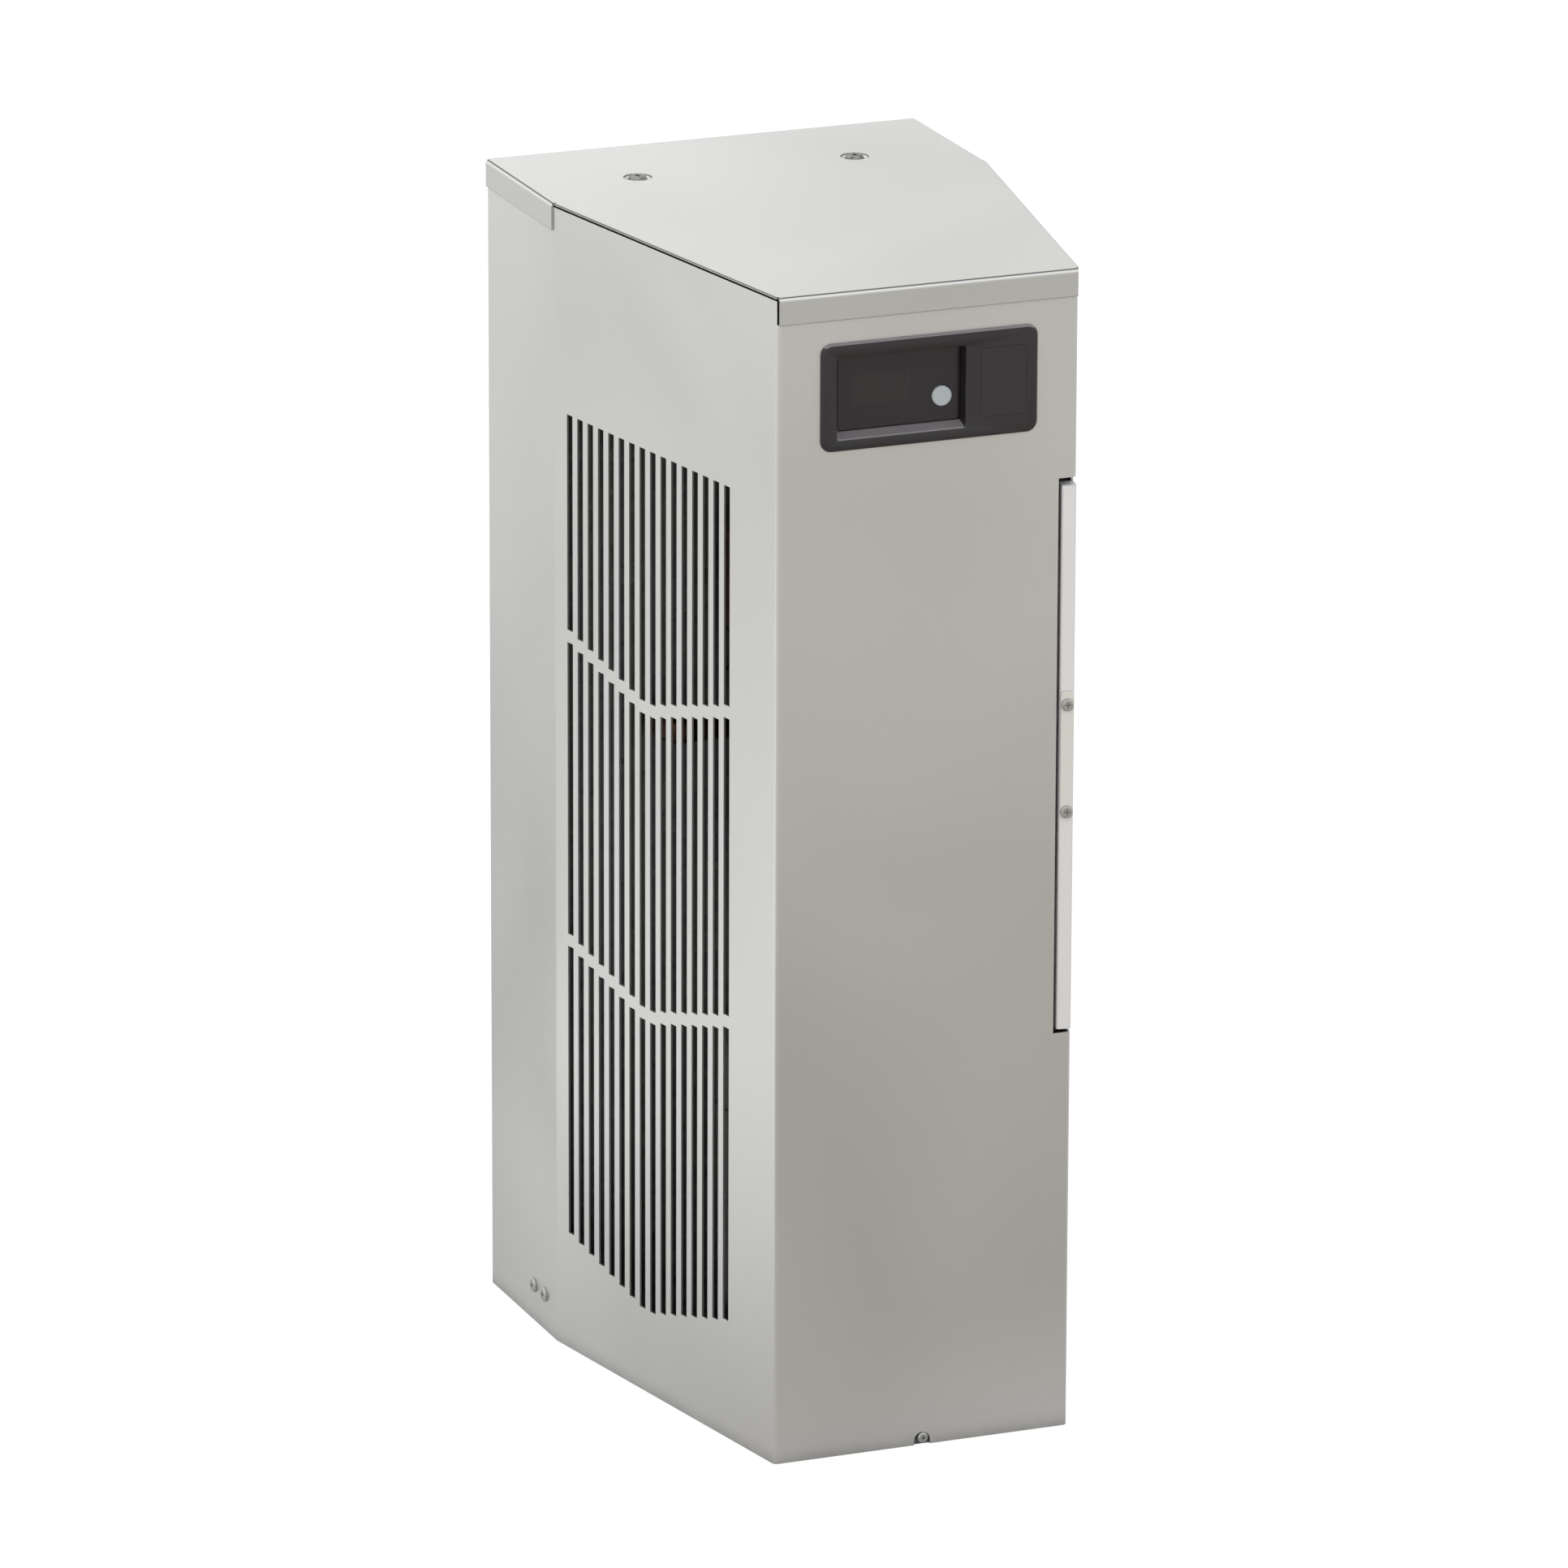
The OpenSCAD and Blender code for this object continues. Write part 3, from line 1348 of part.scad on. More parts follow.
module blower_motor() {
  back = scroll_d0;
  front = bulkhead_d + motor_gap;
  color([0.3, 0.3, 0.32]) placed() difference() {
    union() {
      cross_rod(0, wheel_z, front, back, motor_r);
      cross_rod(0, wheel_z, back - motor_foot_t, back, motor_foot_r);
      cross_rod(0, wheel_z, back, back + 2 * scroll_t, hub_r);
    }
    cross_rod(0, wheel_z, front + motor_foot_t, back + over, shaft_r + run_gap);
  }
}

module blower_wheel() {
  inner = wheel_r * wheel_inner_share;
  mid = (wheel_r + inner) / 2;
  color([0.35, 0.36, 0.38]) placed() translate([0, wheel_d0 + wheel_w, wheel_z]) rotate([90, 0, 0]) {
    linear_extrude(wheel_w) intersection() {
      difference() {
        circle(wheel_r);
        circle(inner);
      }
      for (i = [0:wheel_blades - 1]) rotate(i * 360 / wheel_blades) translate([mid, wheel_blade_r])
        difference() {
          circle(wheel_blade_r);
          circle(wheel_blade_r - wheel_blade_t);
          translate([-2 * wheel_blade_r, 0]) square([4 * wheel_blade_r, 2 * wheel_blade_r]);
        }
    }
    linear_extrude(wheel_plate_t) difference() {
      circle(wheel_r);
      circle(inner);
    }
    translate([0, 0, wheel_w - wheel_plate_t]) linear_extrude(wheel_plate_t) difference() {
      circle(wheel_r);
      circle(shaft_r);
    }
    translate([0, 0, wheel_w - hub_len]) linear_extrude(hub_len) difference() {
      circle(hub_r);
      circle(shaft_r);
    }
  }
}

module blower_shaft() {
  color("silver") placed()
    cross_rod(0, wheel_z, bulkhead_d + motor_gap + motor_foot_t + fan_gap, wheel_d0 + hub_len, shaft_r);
}

// Sloped sheet that turns the blower's air down in front of the coil
module air_baffle() {
  top = evap_z + evap_h + coil_margin;
  front_z = top + baffle_lip;
  back_z = wheel_z - duct_drop - baffle_drop;
  half = rear_w / 2 - sheet_t - liner_t - fit_gap;
  lip = evap_len / 2 + plate_gap + end_plate_t;
  color("lightgray") placed() {
    translate([-half, 0, 0]) rotate([90, 0, 90]) linear_extrude(2 * half) polygon([
      [evap_d0, front_z], [plate_front_d, back_z], [plate_front_d, back_z + frame_t], [evap_d0, front_z + frame_t]
    ]);
    box([-lip, evap_d0, top], [lip, evap_d0 + frame_t, front_z + frame_t / 2]);
  }
}

// Condensate pan under the evaporator, and the hose that drains it through the base
module drain_pan() {
  lo = [-drain_half_w, evap_d0 - drain_front, drain_z];
  hi = [drain_half_w, plate_front_d, drain_z + drain_wall_h];
  wall = [frame_t, frame_t, frame_t];
  color("lightgray") placed() difference() {
    union() {
      difference() {
        box(lo, hi);
        box(lo + wall, [hi[0] - frame_t, hi[1] - frame_t, hi[2] + over]);
      }
      rod(spout_x, spout_d, drain_z - spout_len, drain_z + frame_t / 2, spout_r);
    }
    rod(spout_x, spout_d, drain_z - spout_len - over, drain_z + over, spout_bore_r);
  }
}

module drain_hose() {
  color([0.1, 0.1, 0.1]) placed() difference() {
    rod(spout_x, spout_d, slide_gap, drain_z - slide_gap, hose_r);
    rod(spout_x, spout_d, -over, drain_z, hose_r - hose_t - hose_stretch);
    rod(spout_x, spout_d, drain_z - spout_len - slide_gap, drain_z + over, hose_r - hose_t);
  }
}

// Copper lines of the refrigerant circuit
module discharge_line() {
  u = discharge_u;
  color("peru") on_side() bent_tube([
    [cond_end_u, cond_row_w[1], cond_top_z], [u, cond_row_w[1], cond_top_z], [u, comp_w, cond_top_z],
    [u, comp_w, discharge_drop_z], [comp_u + stub_off, comp_w, discharge_drop_z],
    [comp_u + stub_off, comp_w, comp_top_z]
  ], line_r, line_bend);
}

module suction_line() {
  x = -evap_end_x - suction_out;
  color("peru") placed() bent_tube([
    [-evap_end_x, evap_row_d[1], evap_top_z], [x, evap_row_d[1], evap_top_z], [x, evap_row_d[1], suction_z],
    [x, suction_d, suction_z], [suction_x, suction_d, suction_z], [suction_x, acc_d, suction_z],
    [-comp_x, acc_d, suction_z], [-comp_x, acc_d, acc_top_z]
  ], suction_r, line_bend);
}

module filter_drier() {
  u = cond_end_u + liquid_out;
  z = cond_top_z + liquid_rise;
  neck = drier_neck;
  neck_r = liquid_r * (1 + elbow_share);
  color("peru") on_side() {
    bent_tube([
      [cond_end_u, cond_row_w[0], cond_top_z], [u, cond_row_w[0], cond_top_z], [u, cond_row_w[0], z],
      [u, drier_w, z], [drier_u, drier_w, z], [drier_u, drier_w, drier_z + drier_h - neck / 2]
    ], liquid_r, thin_bend);
    translate([drier_u, drier_w, drier_z]) rotate_extrude() polygon([
      [0, 0], [neck_r, 0], [neck_r, neck], [drier_r, 2 * neck], [drier_r, drier_h - 2 * neck],
      [neck_r, drier_h - neck], [neck_r, drier_h], [0, drier_h]
    ]);
  }
}

module capillary_tube() {
  x = -evap_end_x - capillary_out;
  color("peru") placed() bent_tube([
    [drier_x, drier_d, drier_z], [drier_x, drier_d, capillary_z], [drier_x, capillary_d, capillary_z],
    [x, capillary_d, capillary_z], [x, capillary_d, evap_top_z], [x, evap_row_d[0], evap_top_z],
    [-evap_end_x, evap_row_d[0], evap_top_z]
  ], thin_r, thin_bend);
}

// Electrical box behind the control panel
module control_box() {
  z = shelf_z + frame_t;
  color("lightgray") placed() difference() {
    box([-box_half_w, box_front_d, z], [box_half_w, box_back_d, z + box_h]);
    box([-box_half_w + box_t, box_front_d + box_t, z + box_t],
      [box_half_w - box_t, box_back_d - box_t, z + box_h + over]);
  }
}

module control_box_cover() {
  z = shelf_z + frame_t + box_h;
  color("lightgray") placed() box([-box_half_w, box_front_d, z], [box_half_w, box_back_d, z + box_t]);
}

module run_capacitor() {
  z = shelf_z + frame_t + box_t + cap_r;
  d = box_back_d - 2 * cap_r;
  color("silver") placed() translate([-cap_len / 2, d, z]) rotate([0, 90, 0]) {
    cylinder(h = cap_len, r = cap_r);
    for (y = [-1, 1]) translate([-tab_w / 2, y * tab_x - tab_t / 2, 0])
      cube([tab_w, tab_t, cap_len + tab_len]);
  }
}

module terminal_block() {
  size = block_size;
  z = shelf_z + frame_t + box_t;
  color("linen") placed() translate([-size[0] / 2, box_front_d + size[1], z]) difference() {
    cube(size);
    for (i = [0:block_poles - 1])
      translate([(i + 0.5) * size[0] / block_poles, size[1] / 2, size[2] - pole_depth])
        cylinder(h = over + pole_depth, r = pole_r);
  }
}

shroud();
top_cap();
base_pan();
back_plate();
mounting_gasket();
mount_inserts();
top_cover_screws();
front_cover_screw();
side_screws();
display_bezel();
display_window();
badge_plate();
set_button();
display_board();
filter_frame();
filter_mesh();
filter_end_strip();
filter_pull_plate();
filter_screws();
filter_tracks();
bulkhead();
control_shelf();
insulation_liner();
coil_stand();
compressor();
compressor_grommets();
compressor_bolts();
terminal_cover();
accumulator();
condenser_fins();
condenser_tubes();
condenser_return_bends();
condenser_end_plates();
condenser_fan_shroud();
condenser_fan_frame();
condenser_fan_screws();
condenser_impeller();
condenser_fan_shaft();
evaporator_fins();
evaporator_tubes();
evaporator_return_bends();
evaporator_end_plates();
blower_scroll();
blower_motor();
blower_wheel();
blower_shaft();
air_baffle();
drain_pan();
drain_hose();
discharge_line();
suction_line();
filter_drier();
capillary_tube();
control_box();
control_box_cover();
run_capacitor();
terminal_block();
cable_grommet();
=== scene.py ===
import math

import bpy
from mathutils import Matrix, Vector


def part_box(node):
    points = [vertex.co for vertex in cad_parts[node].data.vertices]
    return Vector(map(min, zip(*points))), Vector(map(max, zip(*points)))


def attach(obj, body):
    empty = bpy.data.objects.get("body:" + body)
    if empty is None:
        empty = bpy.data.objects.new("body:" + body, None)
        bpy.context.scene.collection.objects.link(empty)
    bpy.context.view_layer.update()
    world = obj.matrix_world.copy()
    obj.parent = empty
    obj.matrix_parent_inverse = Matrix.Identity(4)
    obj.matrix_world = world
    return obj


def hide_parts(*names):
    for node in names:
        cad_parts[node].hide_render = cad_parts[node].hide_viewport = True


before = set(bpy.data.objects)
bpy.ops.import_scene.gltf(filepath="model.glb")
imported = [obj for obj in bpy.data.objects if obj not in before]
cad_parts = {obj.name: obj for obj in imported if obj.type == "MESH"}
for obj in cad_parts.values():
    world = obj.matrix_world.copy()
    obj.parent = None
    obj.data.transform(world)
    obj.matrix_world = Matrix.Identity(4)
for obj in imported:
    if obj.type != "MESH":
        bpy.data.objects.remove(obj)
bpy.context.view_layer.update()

# Camera: it stands a little to the left of the front and looks slightly down on the unit. It is
# far away behind a long lens, so that the upright edges stay nearly parallel.
camera_turn, camera_lift = math.radians(-21.76), math.radians(17.40)
camera_roll = math.radians(0.19)
camera_distance = 5.362
camera_target = Vector((-0.02063, -0.02027, 0.27567))
sensor_wide, picture_wide, focal_length = 36, 1932, 14865
camera_back = Vector((math.sin(camera_turn) * math.cos(camera_lift),
                      -math.cos(camera_turn) * math.cos(camera_lift), math.sin(camera_lift)))
camera_right = Vector((math.cos(camera_turn), math.sin(camera_turn), 0))
camera_up = camera_back.cross(camera_right)
rolled_right = math.cos(camera_roll) * camera_right + math.sin(camera_roll) * camera_up
rolled_up = math.cos(camera_roll) * camera_up - math.sin(camera_roll) * camera_right
bpy.ops.object.camera_add(location=camera_target + camera_back * camera_distance)
camera = bpy.context.object
camera.rotation_euler = Matrix((rolled_right, rolled_up, camera_back)).transposed().to_euler()
camera.data.sensor_width = sensor_wide
camera.data.lens = sensor_wide * focal_length / picture_wide
camera.data.clip_end = 60
bpy.context.scene.camera = camera
bpy.context.scene.view_settings.view_transform = "Standard"


# Studio: a white room with soft lamps and a pale floor that keeps the unit's shadow. The eye sees
# plain white behind the unit. Bare steel sees a room that is a little darker towards the floor.
def shader_node(tree, kind, settings=None, **sockets):
    """Adds a shader node. A socket goes by its title, or by i and its number, and is given a
    number, a colour or the output of another node."""
    made = tree.nodes.new(kind)
    for name, value in (settings or {}).items():
        setattr(made, name, value)
    for name, value in sockets.items():
        numbered = name[0] == "i" and name[1:].isdigit()
        socket = made.inputs[int(name[1:]) if numbered else name.replace("_", " ").title()]
        if isinstance(value, bpy.types.NodeSocket):
            tree.links.new(value, socket)
        else:
            socket.default_value = value
    return made


def maths(tree, operation, first, second=0.0, third=0.0, clamp=False):
    return shader_node(tree, "ShaderNodeMath", {"operation": operation, "use_clamp": clamp},
                       i0=first, i1=second, i2=third).outputs[0]


def place_in(tree):
    """The place on the piece, in metres, so that a pattern moves with it."""
    return shader_node(tree, "ShaderNodeTexCoord").outputs["Object"]


def blend_colours(tree, share, first, second):
    return shader_node(tree, "ShaderNodeMix", {"data_type": "RGBA"}, i0=share, i6=first,
                       i7=second).outputs[2]


def blend_numbers(tree, share, first, second):
    return shader_node(tree, "ShaderNodeMix", {"data_type": "FLOAT"}, i0=share, i2=first,
                       i3=second).outputs[0]


room_light, sky_at_eye_level, sky_rise = 0.90, 0.84, 0.25
room = bpy.data.worlds.new("white_room")
bpy.context.scene.world = room
room.use_nodes = True
tree = room.node_tree
tree.nodes.clear()
path = shader_node(tree, "ShaderNodeLightPath").outputs
seen = maths(tree, "MAXIMUM", path["Is Camera Ray"], path["Is Transmission Ray"])
upwards = shader_node(tree, "ShaderNodeSeparateXYZ",
                      i0=shader_node(tree, "ShaderNodeTexCoord").outputs["Generated"]).outputs["Z"]
sky = maths(tree, "MULTIPLY_ADD", upwards, sky_rise, sky_at_eye_level, clamp=True)
unseen = blend_numbers(tree, path["Is Glossy Ray"], room_light, sky)
light = shader_node(tree, "ShaderNodeBackground", color=(1, 1, 1, 1),
                    strength=blend_numbers(tree, seen, unseen, 1.0))
shader_node(tree, "ShaderNodeOutputWorld", surface=light.outputs[0])

floor_size, floor_drop = 30, 0.0003
bpy.ops.mesh.primitive_plane_add(size=floor_size, location=(0, 0, -floor_drop))
floor = bpy.context.object
floor.name = "studio_floor"
floor_paint = bpy.data.materials.new("pale_floor")
floor_paint.use_nodes = True
tree = floor_paint.node_tree
tree.nodes.clear()
path = shader_node(tree, "ShaderNodeLightPath").outputs
spot = place_in(tree)
apart = shader_node(tree, "ShaderNodeVectorMath", {"operation": "LENGTH"}, i0=spot).outputs["Value"]
across = shader_node(tree, "ShaderNodeSeparateXYZ", i0=spot).outputs


def fade_between(tree, value, start, end, first, second):
    """A colour that passes softly from the first to the second while the value grows."""
    share = shader_node(tree, "ShaderNodeMapRange", {"interpolation_type": "SMOOTHSTEP"},
                        i0=value, i1=start, i2=end).outputs[0]
    return blend_colours(tree, share, first, second)


# The floor that the steel sees has painted shade close to the unit: warm in front of it,
# cool at its left and dull behind it.
front_floor = fade_between(tree, apart, 0.4, 2.0, (0.41, 0.38, 0.33, 1), (0.77, 0.75, 0.705, 1))
left_floor = fade_between(tree, apart, 0.2, 0.6, (0.65, 0.645, 0.65, 1), (1.2, 1.2, 1.2, 1))
left_floor = fade_between(tree, apart, 0.9, 1.5, left_floor, (0.86, 0.86, 0.85, 1))
back_floor = fade_between(tree, apart, 0.2, 0.6, (0.20, 0.195, 0.20, 1), (0.54, 0.54, 0.55, 1))
back_floor = fade_between(tree, apart, 1.0, 2.1, back_floor, (0.95, 0.95, 0.93, 1))
to_the_back = maths(tree, "ADD", across["Y"], maths(tree, "MULTIPLY", across["X"], 0.5))
cool_floor = fade_between(tree, to_the_back, 0.1, 0.35, left_floor, back_floor)
floor_with_painted_shade = fade_between(tree, across["Y"], -0.35, 0.0, front_floor, cool_floor)
plain_floor, floor_glow, glow_share = (0.8, 0.8, 0.8, 1), 1.09, 0.86
matt = shader_node(tree, "ShaderNodeBsdfDiffuse",
                   color=blend_colours(tree, path["Is Camera Ray"], floor_with_painted_shade, plain_floor))
glow = shader_node(tree, "ShaderNodeEmission", color=(1, 1, 1, 1), strength=floor_glow)
mixed = shader_node(tree, "ShaderNodeMixShader", i1=matt.outputs[0], i2=glow.outputs[0],
                    fac=maths(tree, "MULTIPLY", path["Is Camera Ray"], glow_share))
shader_node(tree, "ShaderNodeOutputMaterial", surface=mixed.outputs[0])
floor.data.materials.append(floor_paint)


def soft_box(name, place, aim, width, height, watts):
    """One large soft lamp that faces a point."""
    bpy.ops.object.light_add(type="AREA", location=place)
    lamp = bpy.context.object
    lamp.name = name
    lamp.data.shape = "RECTANGLE"
    lamp.data.size, lamp.data.size_y = width, height
    lamp.data.energy = watts
    lamp.rotation_euler = (Vector(place) - Vector(aim)).to_track_quat("Z", "Y").to_euler()
    return lamp


soft_box("roof_lamp", (-0.75, 0.5, 1.5), (0, 0.1, 0.5), 1.9, 1.7, 3.5)
back_panel = soft_box("back_panel", (0.0, 0.75, 0.74), (-0.1, 0.1, 0.53), 0.5, 0.4, 0.12)
back_panel.visible_camera = False
left_lamp = soft_box("left_lamp", (-2.3, -0.7, 1.5), (0, 0, 0.3), 2.6, 2.4, 10)
left_lamp.visible_glossy = False


# Shroud and top: 1 mm stainless sheet with a satin finish. The shroud is cut flat with all its
# slots and folded round a brake into one wrap. The top is folded separately and screwed down.
def new_finish(name, **sockets):
    """A material with its main shader. Returns the material, its tree and that shader."""
    made = bpy.data.materials.new(name)
    made.use_nodes = True
    made.node_tree.nodes.clear()
    shader = shader_node(made.node_tree, "ShaderNodeBsdfPrincipled", **sockets)
    shader_node(made.node_tree, "ShaderNodeOutputMaterial", surface=shader.outputs[0])
    return made, made.node_tree, shader


def coat_piece(material, *nodes):
    """Gives a finish to CAD pieces by name. Their meshes stay as they are."""
    for name in nodes:
        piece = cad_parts[name]
        if not piece.material_slots:
            piece.data.materials.append(material)
        for slot in piece.material_slots:
            slot.material = material


def new_effect(name, wanted, given):
    """A node group with named inputs (name, kind, value) and outputs (name, kind)."""
    group = bpy.data.node_groups.new(name, "ShaderNodeTree")
    for label, kind, value in wanted:
        socket = group.interface.new_socket(label, in_out="INPUT", socket_type=kind)
        socket.default_value = value
    for label, kind in given:
        group.interface.new_socket(label, in_out="OUTPUT", socket_type=kind)
    return (group, group.nodes.new("NodeGroupInput").outputs,
            group.nodes.new("NodeGroupOutput").inputs)


def use_effect(tree, group, **sockets):
    return shader_node(tree, "ShaderNodeGroup", {"node_tree": group}, **sockets).outputs


number, arrow = "NodeSocketFloat", "NodeSocketVector"
tone_and_height = [("Tone", number), ("Height", number)]

grain, wanted, given = new_effect(
    "rolled_grain", [("Stretch", arrow, (1, 1, 1)), ("Contrast", number, 1.0),
                     ("Patches", number, 0.4)], tone_and_height)
pulled = shader_node(grain, "ShaderNodeVectorMath", {"operation": "MULTIPLY"}, i0=place_in(grain),
                     i1=wanted["Stretch"]).outputs[0]
lines = shader_node(grain, "ShaderNodeTexNoise", vector=pulled, scale=1.0, detail=3.0,
                    roughness=0.6).outputs[0]
cloud = shader_node(grain, "ShaderNodeTexNoise", vector=place_in(grain), scale=6.0, detail=1.0,
                    distortion=0.6).outputs[0]
spread = maths(grain, "MULTIPLY", maths(grain, "SUBTRACT", lines, 0.5), wanted["Contrast"])
patch = maths(grain, "MULTIPLY", maths(grain, "SUBTRACT", cloud, 0.5), wanted["Patches"])
both = maths(grain, "ADD", spread, patch)
grain.links.new(maths(grain, "ADD", both, 0.5, clamp=True), given["Tone"])
grain.links.new(lines, given["Height"])

# Edge mask: on most finishes its colour is edge wear, and on the top's sheet it is a painted shade
# line.
edges, wanted, given = new_effect(
    "worn_and_shaded_edges", [("Width", number, 0.0004)], [("Mask", number), ("Normal", arrow)])
rounded = shader_node(edges, "ShaderNodeBevel", {"samples": 4}, radius=wanted["Width"]).outputs[0]
flat = shader_node(edges, "ShaderNodeNewGeometry").outputs["Normal"]
same = shader_node(edges, "ShaderNodeVectorMath", {"operation": "DOT_PRODUCT"}, i0=rounded,
                   i1=flat).outputs["Value"]
turned_away = maths(edges, "SUBTRACT", 1.0, same)
edges.links.new(maths(edges, "MULTIPLY", turned_away, 5.0, clamp=True), given["Mask"])
edges.links.new(rounded, given["Normal"])

# Painted shade: an ambient-occlusion mask, broken up by fine blotches, darkens corners, crevices
# and hollows.
corners, wanted, given = new_effect(
    "painted_corner_shade", [("Reach", number, 0.01)], [("Mask", number)])
open_air = shader_node(corners, "ShaderNodeAmbientOcclusion", {"samples": 6},
                       distance=wanted["Reach"]).outputs["AO"]
blotch = shader_node(corners, "ShaderNodeTexNoise", vector=place_in(corners), scale=120.0,
                     detail=3.0).outputs[0]
closed = maths(corners, "SUBTRACT", 1.0, open_air)
deep = maths(corners, "MULTIPLY", maths(corners, "SUBTRACT", closed, 0.25), 1.6, clamp=True)
uneven = maths(corners, "ADD", blotch, 0.45)
corners.links.new(maths(corners, "MULTIPLY", deep, uneven, clamp=True), given["Mask"])


def dress(name, pattern, dark, light, rough, relief, edge=None, edge_width=0.0004, corner=None,
          reach=0.01, **sockets):
    """A finish whose colour and roughness go from dark to light with the tone of a pattern.
    Relief is the strength and the depth of its bumps."""
    made, tree, shader = new_finish(name, **sockets)
    group, values = pattern
    drawn = use_effect(tree, group, **values)
    edge_wear_and_shade = use_effect(tree, edges, width=edge_width)
    colour = blend_colours(tree, drawn["Tone"], (*dark, 1), (*light, 1))
    # Painted shade: the corner colour is laid where the mask finds corners and crevices.
    if corner:
        corner_shade_mask = use_effect(tree, corners, reach=reach)["Mask"]
        colour = blend_colours(tree, corner_shade_mask, colour, (*corner, 1))
    if edge:
        colour = blend_colours(tree, edge_wear_and_shade["Mask"], colour, (*edge, 1))
    tree.links.new(colour, shader.inputs["Base Color"])
    gloss = maths(tree, "MULTIPLY_ADD", drawn["Tone"], rough[1] - rough[0], rough[0])
    tree.links.new(gloss, shader.inputs["Roughness"])
    bump = shader_node(tree, "ShaderNodeBump", height=drawn["Height"], strength=relief[0],
                       distance=relief[1], normal=edge_wear_and_shade["Normal"]).outputs[0]
    tree.links.new(bump, shader.inputs["Normal"])
    return made


# Both sheets are painted darker in corners and hollows as painted shade. The shroud's edges are a
# touch paler, and the top's edges are painted dark as a painted shade line.
for finish_name, sheet, edge_tone, edge_reach in (
        ("satin_stainless", "shroud", (0.80, 0.80, 0.79), 0.0003),
        ("satin_stainless_top", "top_cap", (0.16, 0.16, 0.15), 0.0006)):
    steel = dress(finish_name, (grain, dict(stretch=(2600, 2600, 50), contrast=0.18, patches=1.1)),
                  dark=(0.59, 0.59, 0.57), light=(0.75, 0.75, 0.735), rough=(0.34, 0.42),
                  relief=(0.03, 0.0001), edge=edge_tone, edge_width=edge_reach,
                  corner=(0.20, 0.196, 0.186), reach=0.012, metallic=0.8)
    coat_piece(steel, sheet)

# The top's lips are painted a touch darker than its face as painted shade, and its fold has a
# thin painted highlight line under a thin painted shade line.
lip_start, lip_sharp, lip_share, lip_shade_tone = 0.0016, 1500.0, 0.6, (0.55, 0.548, 0.53, 1)
painted_fold_highlight = (0.0012, 0.0004, (0.85, 0.85, 0.84, 1))
painted_fold_shade = (0.0004, 0.0003, (0.06, 0.06, 0.055, 1))
fold_share, fold_sharp = 0.9, 1.6
tree = steel.node_tree
shader = tree.nodes["Principled BSDF"]
height = shader_node(tree, "ShaderNodeSeparateXYZ", i0=place_in(tree)).outputs["Z"]
below = maths(tree, "SUBTRACT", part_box("top_cap")[1][2], height)
skin_tone = shader.inputs["Base Color"].links[0].from_socket
past_fold = maths(tree, "SUBTRACT", below, lip_start)
on_lip = maths(tree, "MULTIPLY", past_fold, lip_sharp, clamp=True)
skin_tone = blend_colours(tree, maths(tree, "MULTIPLY", on_lip, lip_share), skin_tone, lip_shade_tone)
for middle_below, half_width, fold_line_tone in (painted_fold_highlight, painted_fold_shade):
    away = maths(tree, "ABSOLUTE", maths(tree, "SUBTRACT", below, middle_below))
    line = maths(tree, "MULTIPLY", maths(tree, "SUBTRACT", half_width, away),
                 fold_sharp / half_width, clamp=True)
    skin_tone = blend_colours(tree, maths(tree, "MULTIPLY", line, fold_share), skin_tone, fold_line_tone)
tree.links.new(skin_tone, shader.inputs["Base Color"])

# Inner plates, trays and boxes: hot-dip galvanized sheet, cut, folded and riveted. The zinc has
# set in broad flat crystals that catch the light one by one, and it is painted darker in its
# corners and deep inside as painted shade.
spangle, wanted, given = new_effect("zinc_spangle", [("Size", number, 90.0)], tone_and_height)
bent = shader_node(spangle, "ShaderNodeTexNoise", vector=place_in(spangle), scale=70.0,
                   detail=2.0).outputs["Color"]
moved = shader_node(spangle, "ShaderNodeVectorMath", {"operation": "MULTIPLY_ADD"}, i0=bent,
                    i1=(0.006, 0.006, 0.006), i2=place_in(spangle)).outputs[0]
crystals = shader_node(spangle, "ShaderNodeTexVoronoi", vector=moved,
                       scale=wanted["Size"]).outputs["Color"]
grey = shader_node(spangle, "ShaderNodeSeparateColor", i0=crystals).outputs
spangle.links.new(grey[0], given["Tone"])
spangle.links.new(grey[1], given["Height"])
zinc = dress("galvanized_sheet", (spangle, dict(size=130.0)), dark=(0.34, 0.35, 0.36),
             light=(0.56, 0.575, 0.585), rough=(0.42, 0.3), relief=(0.06, 0.0003),
             edge=(0.66, 0.67, 0.68), corner=(0.05, 0.05, 0.05), reach=0.1, metallic=0.75)
coat_piece(zinc, "base_pan", "back_plate", "filter_tracks", "bulkhead", "control_shelf",
           "coil_stand", "condenser_end_plates", "evaporator_end_plates", "blower_scroll",
           "air_baffle", "drain_pan", "control_box", "control_box_cover")

# Fan plate behind the condenser: the same sheet, given matt black paint as painted shade so that
# it stays dark behind the slots. The paint is thin and shows a fine orange peel.
skin, wanted, given = new_effect(
    "moulded_skin", [("Size", number, 900.0), ("Contrast", number, 1.0)], tone_and_height)
pits = shader_node(skin, "ShaderNodeTexNoise", vector=place_in(skin), scale=wanted["Size"],
                   detail=2.0, roughness=0.7).outputs[0]
flow = shader_node(skin, "ShaderNodeTexNoise", vector=place_in(skin), scale=22.0,
                   detail=3.0).outputs[0]
both = maths(skin, "ADD", maths(skin, "MULTIPLY", pits, 0.5), maths(skin, "MULTIPLY", flow, 0.5))
spread = maths(skin, "MULTIPLY", maths(skin, "SUBTRACT", both, 0.5), wanted["Contrast"])
skin.links.new(maths(skin, "ADD", spread, 0.5, clamp=True), given["Tone"])
skin.links.new(pits, given["Height"])
paint = dress("matt_black_paint", (skin, dict(size=700.0, contrast=2.0)),
              dark=(0.012, 0.012, 0.013), light=(0.022, 0.022, 0.023), rough=(0.55, 0.65),
              relief=(0.15, 0.0002), edge=(0.05, 0.05, 0.05))
coat_piece(paint, "condenser_fan_shroud")

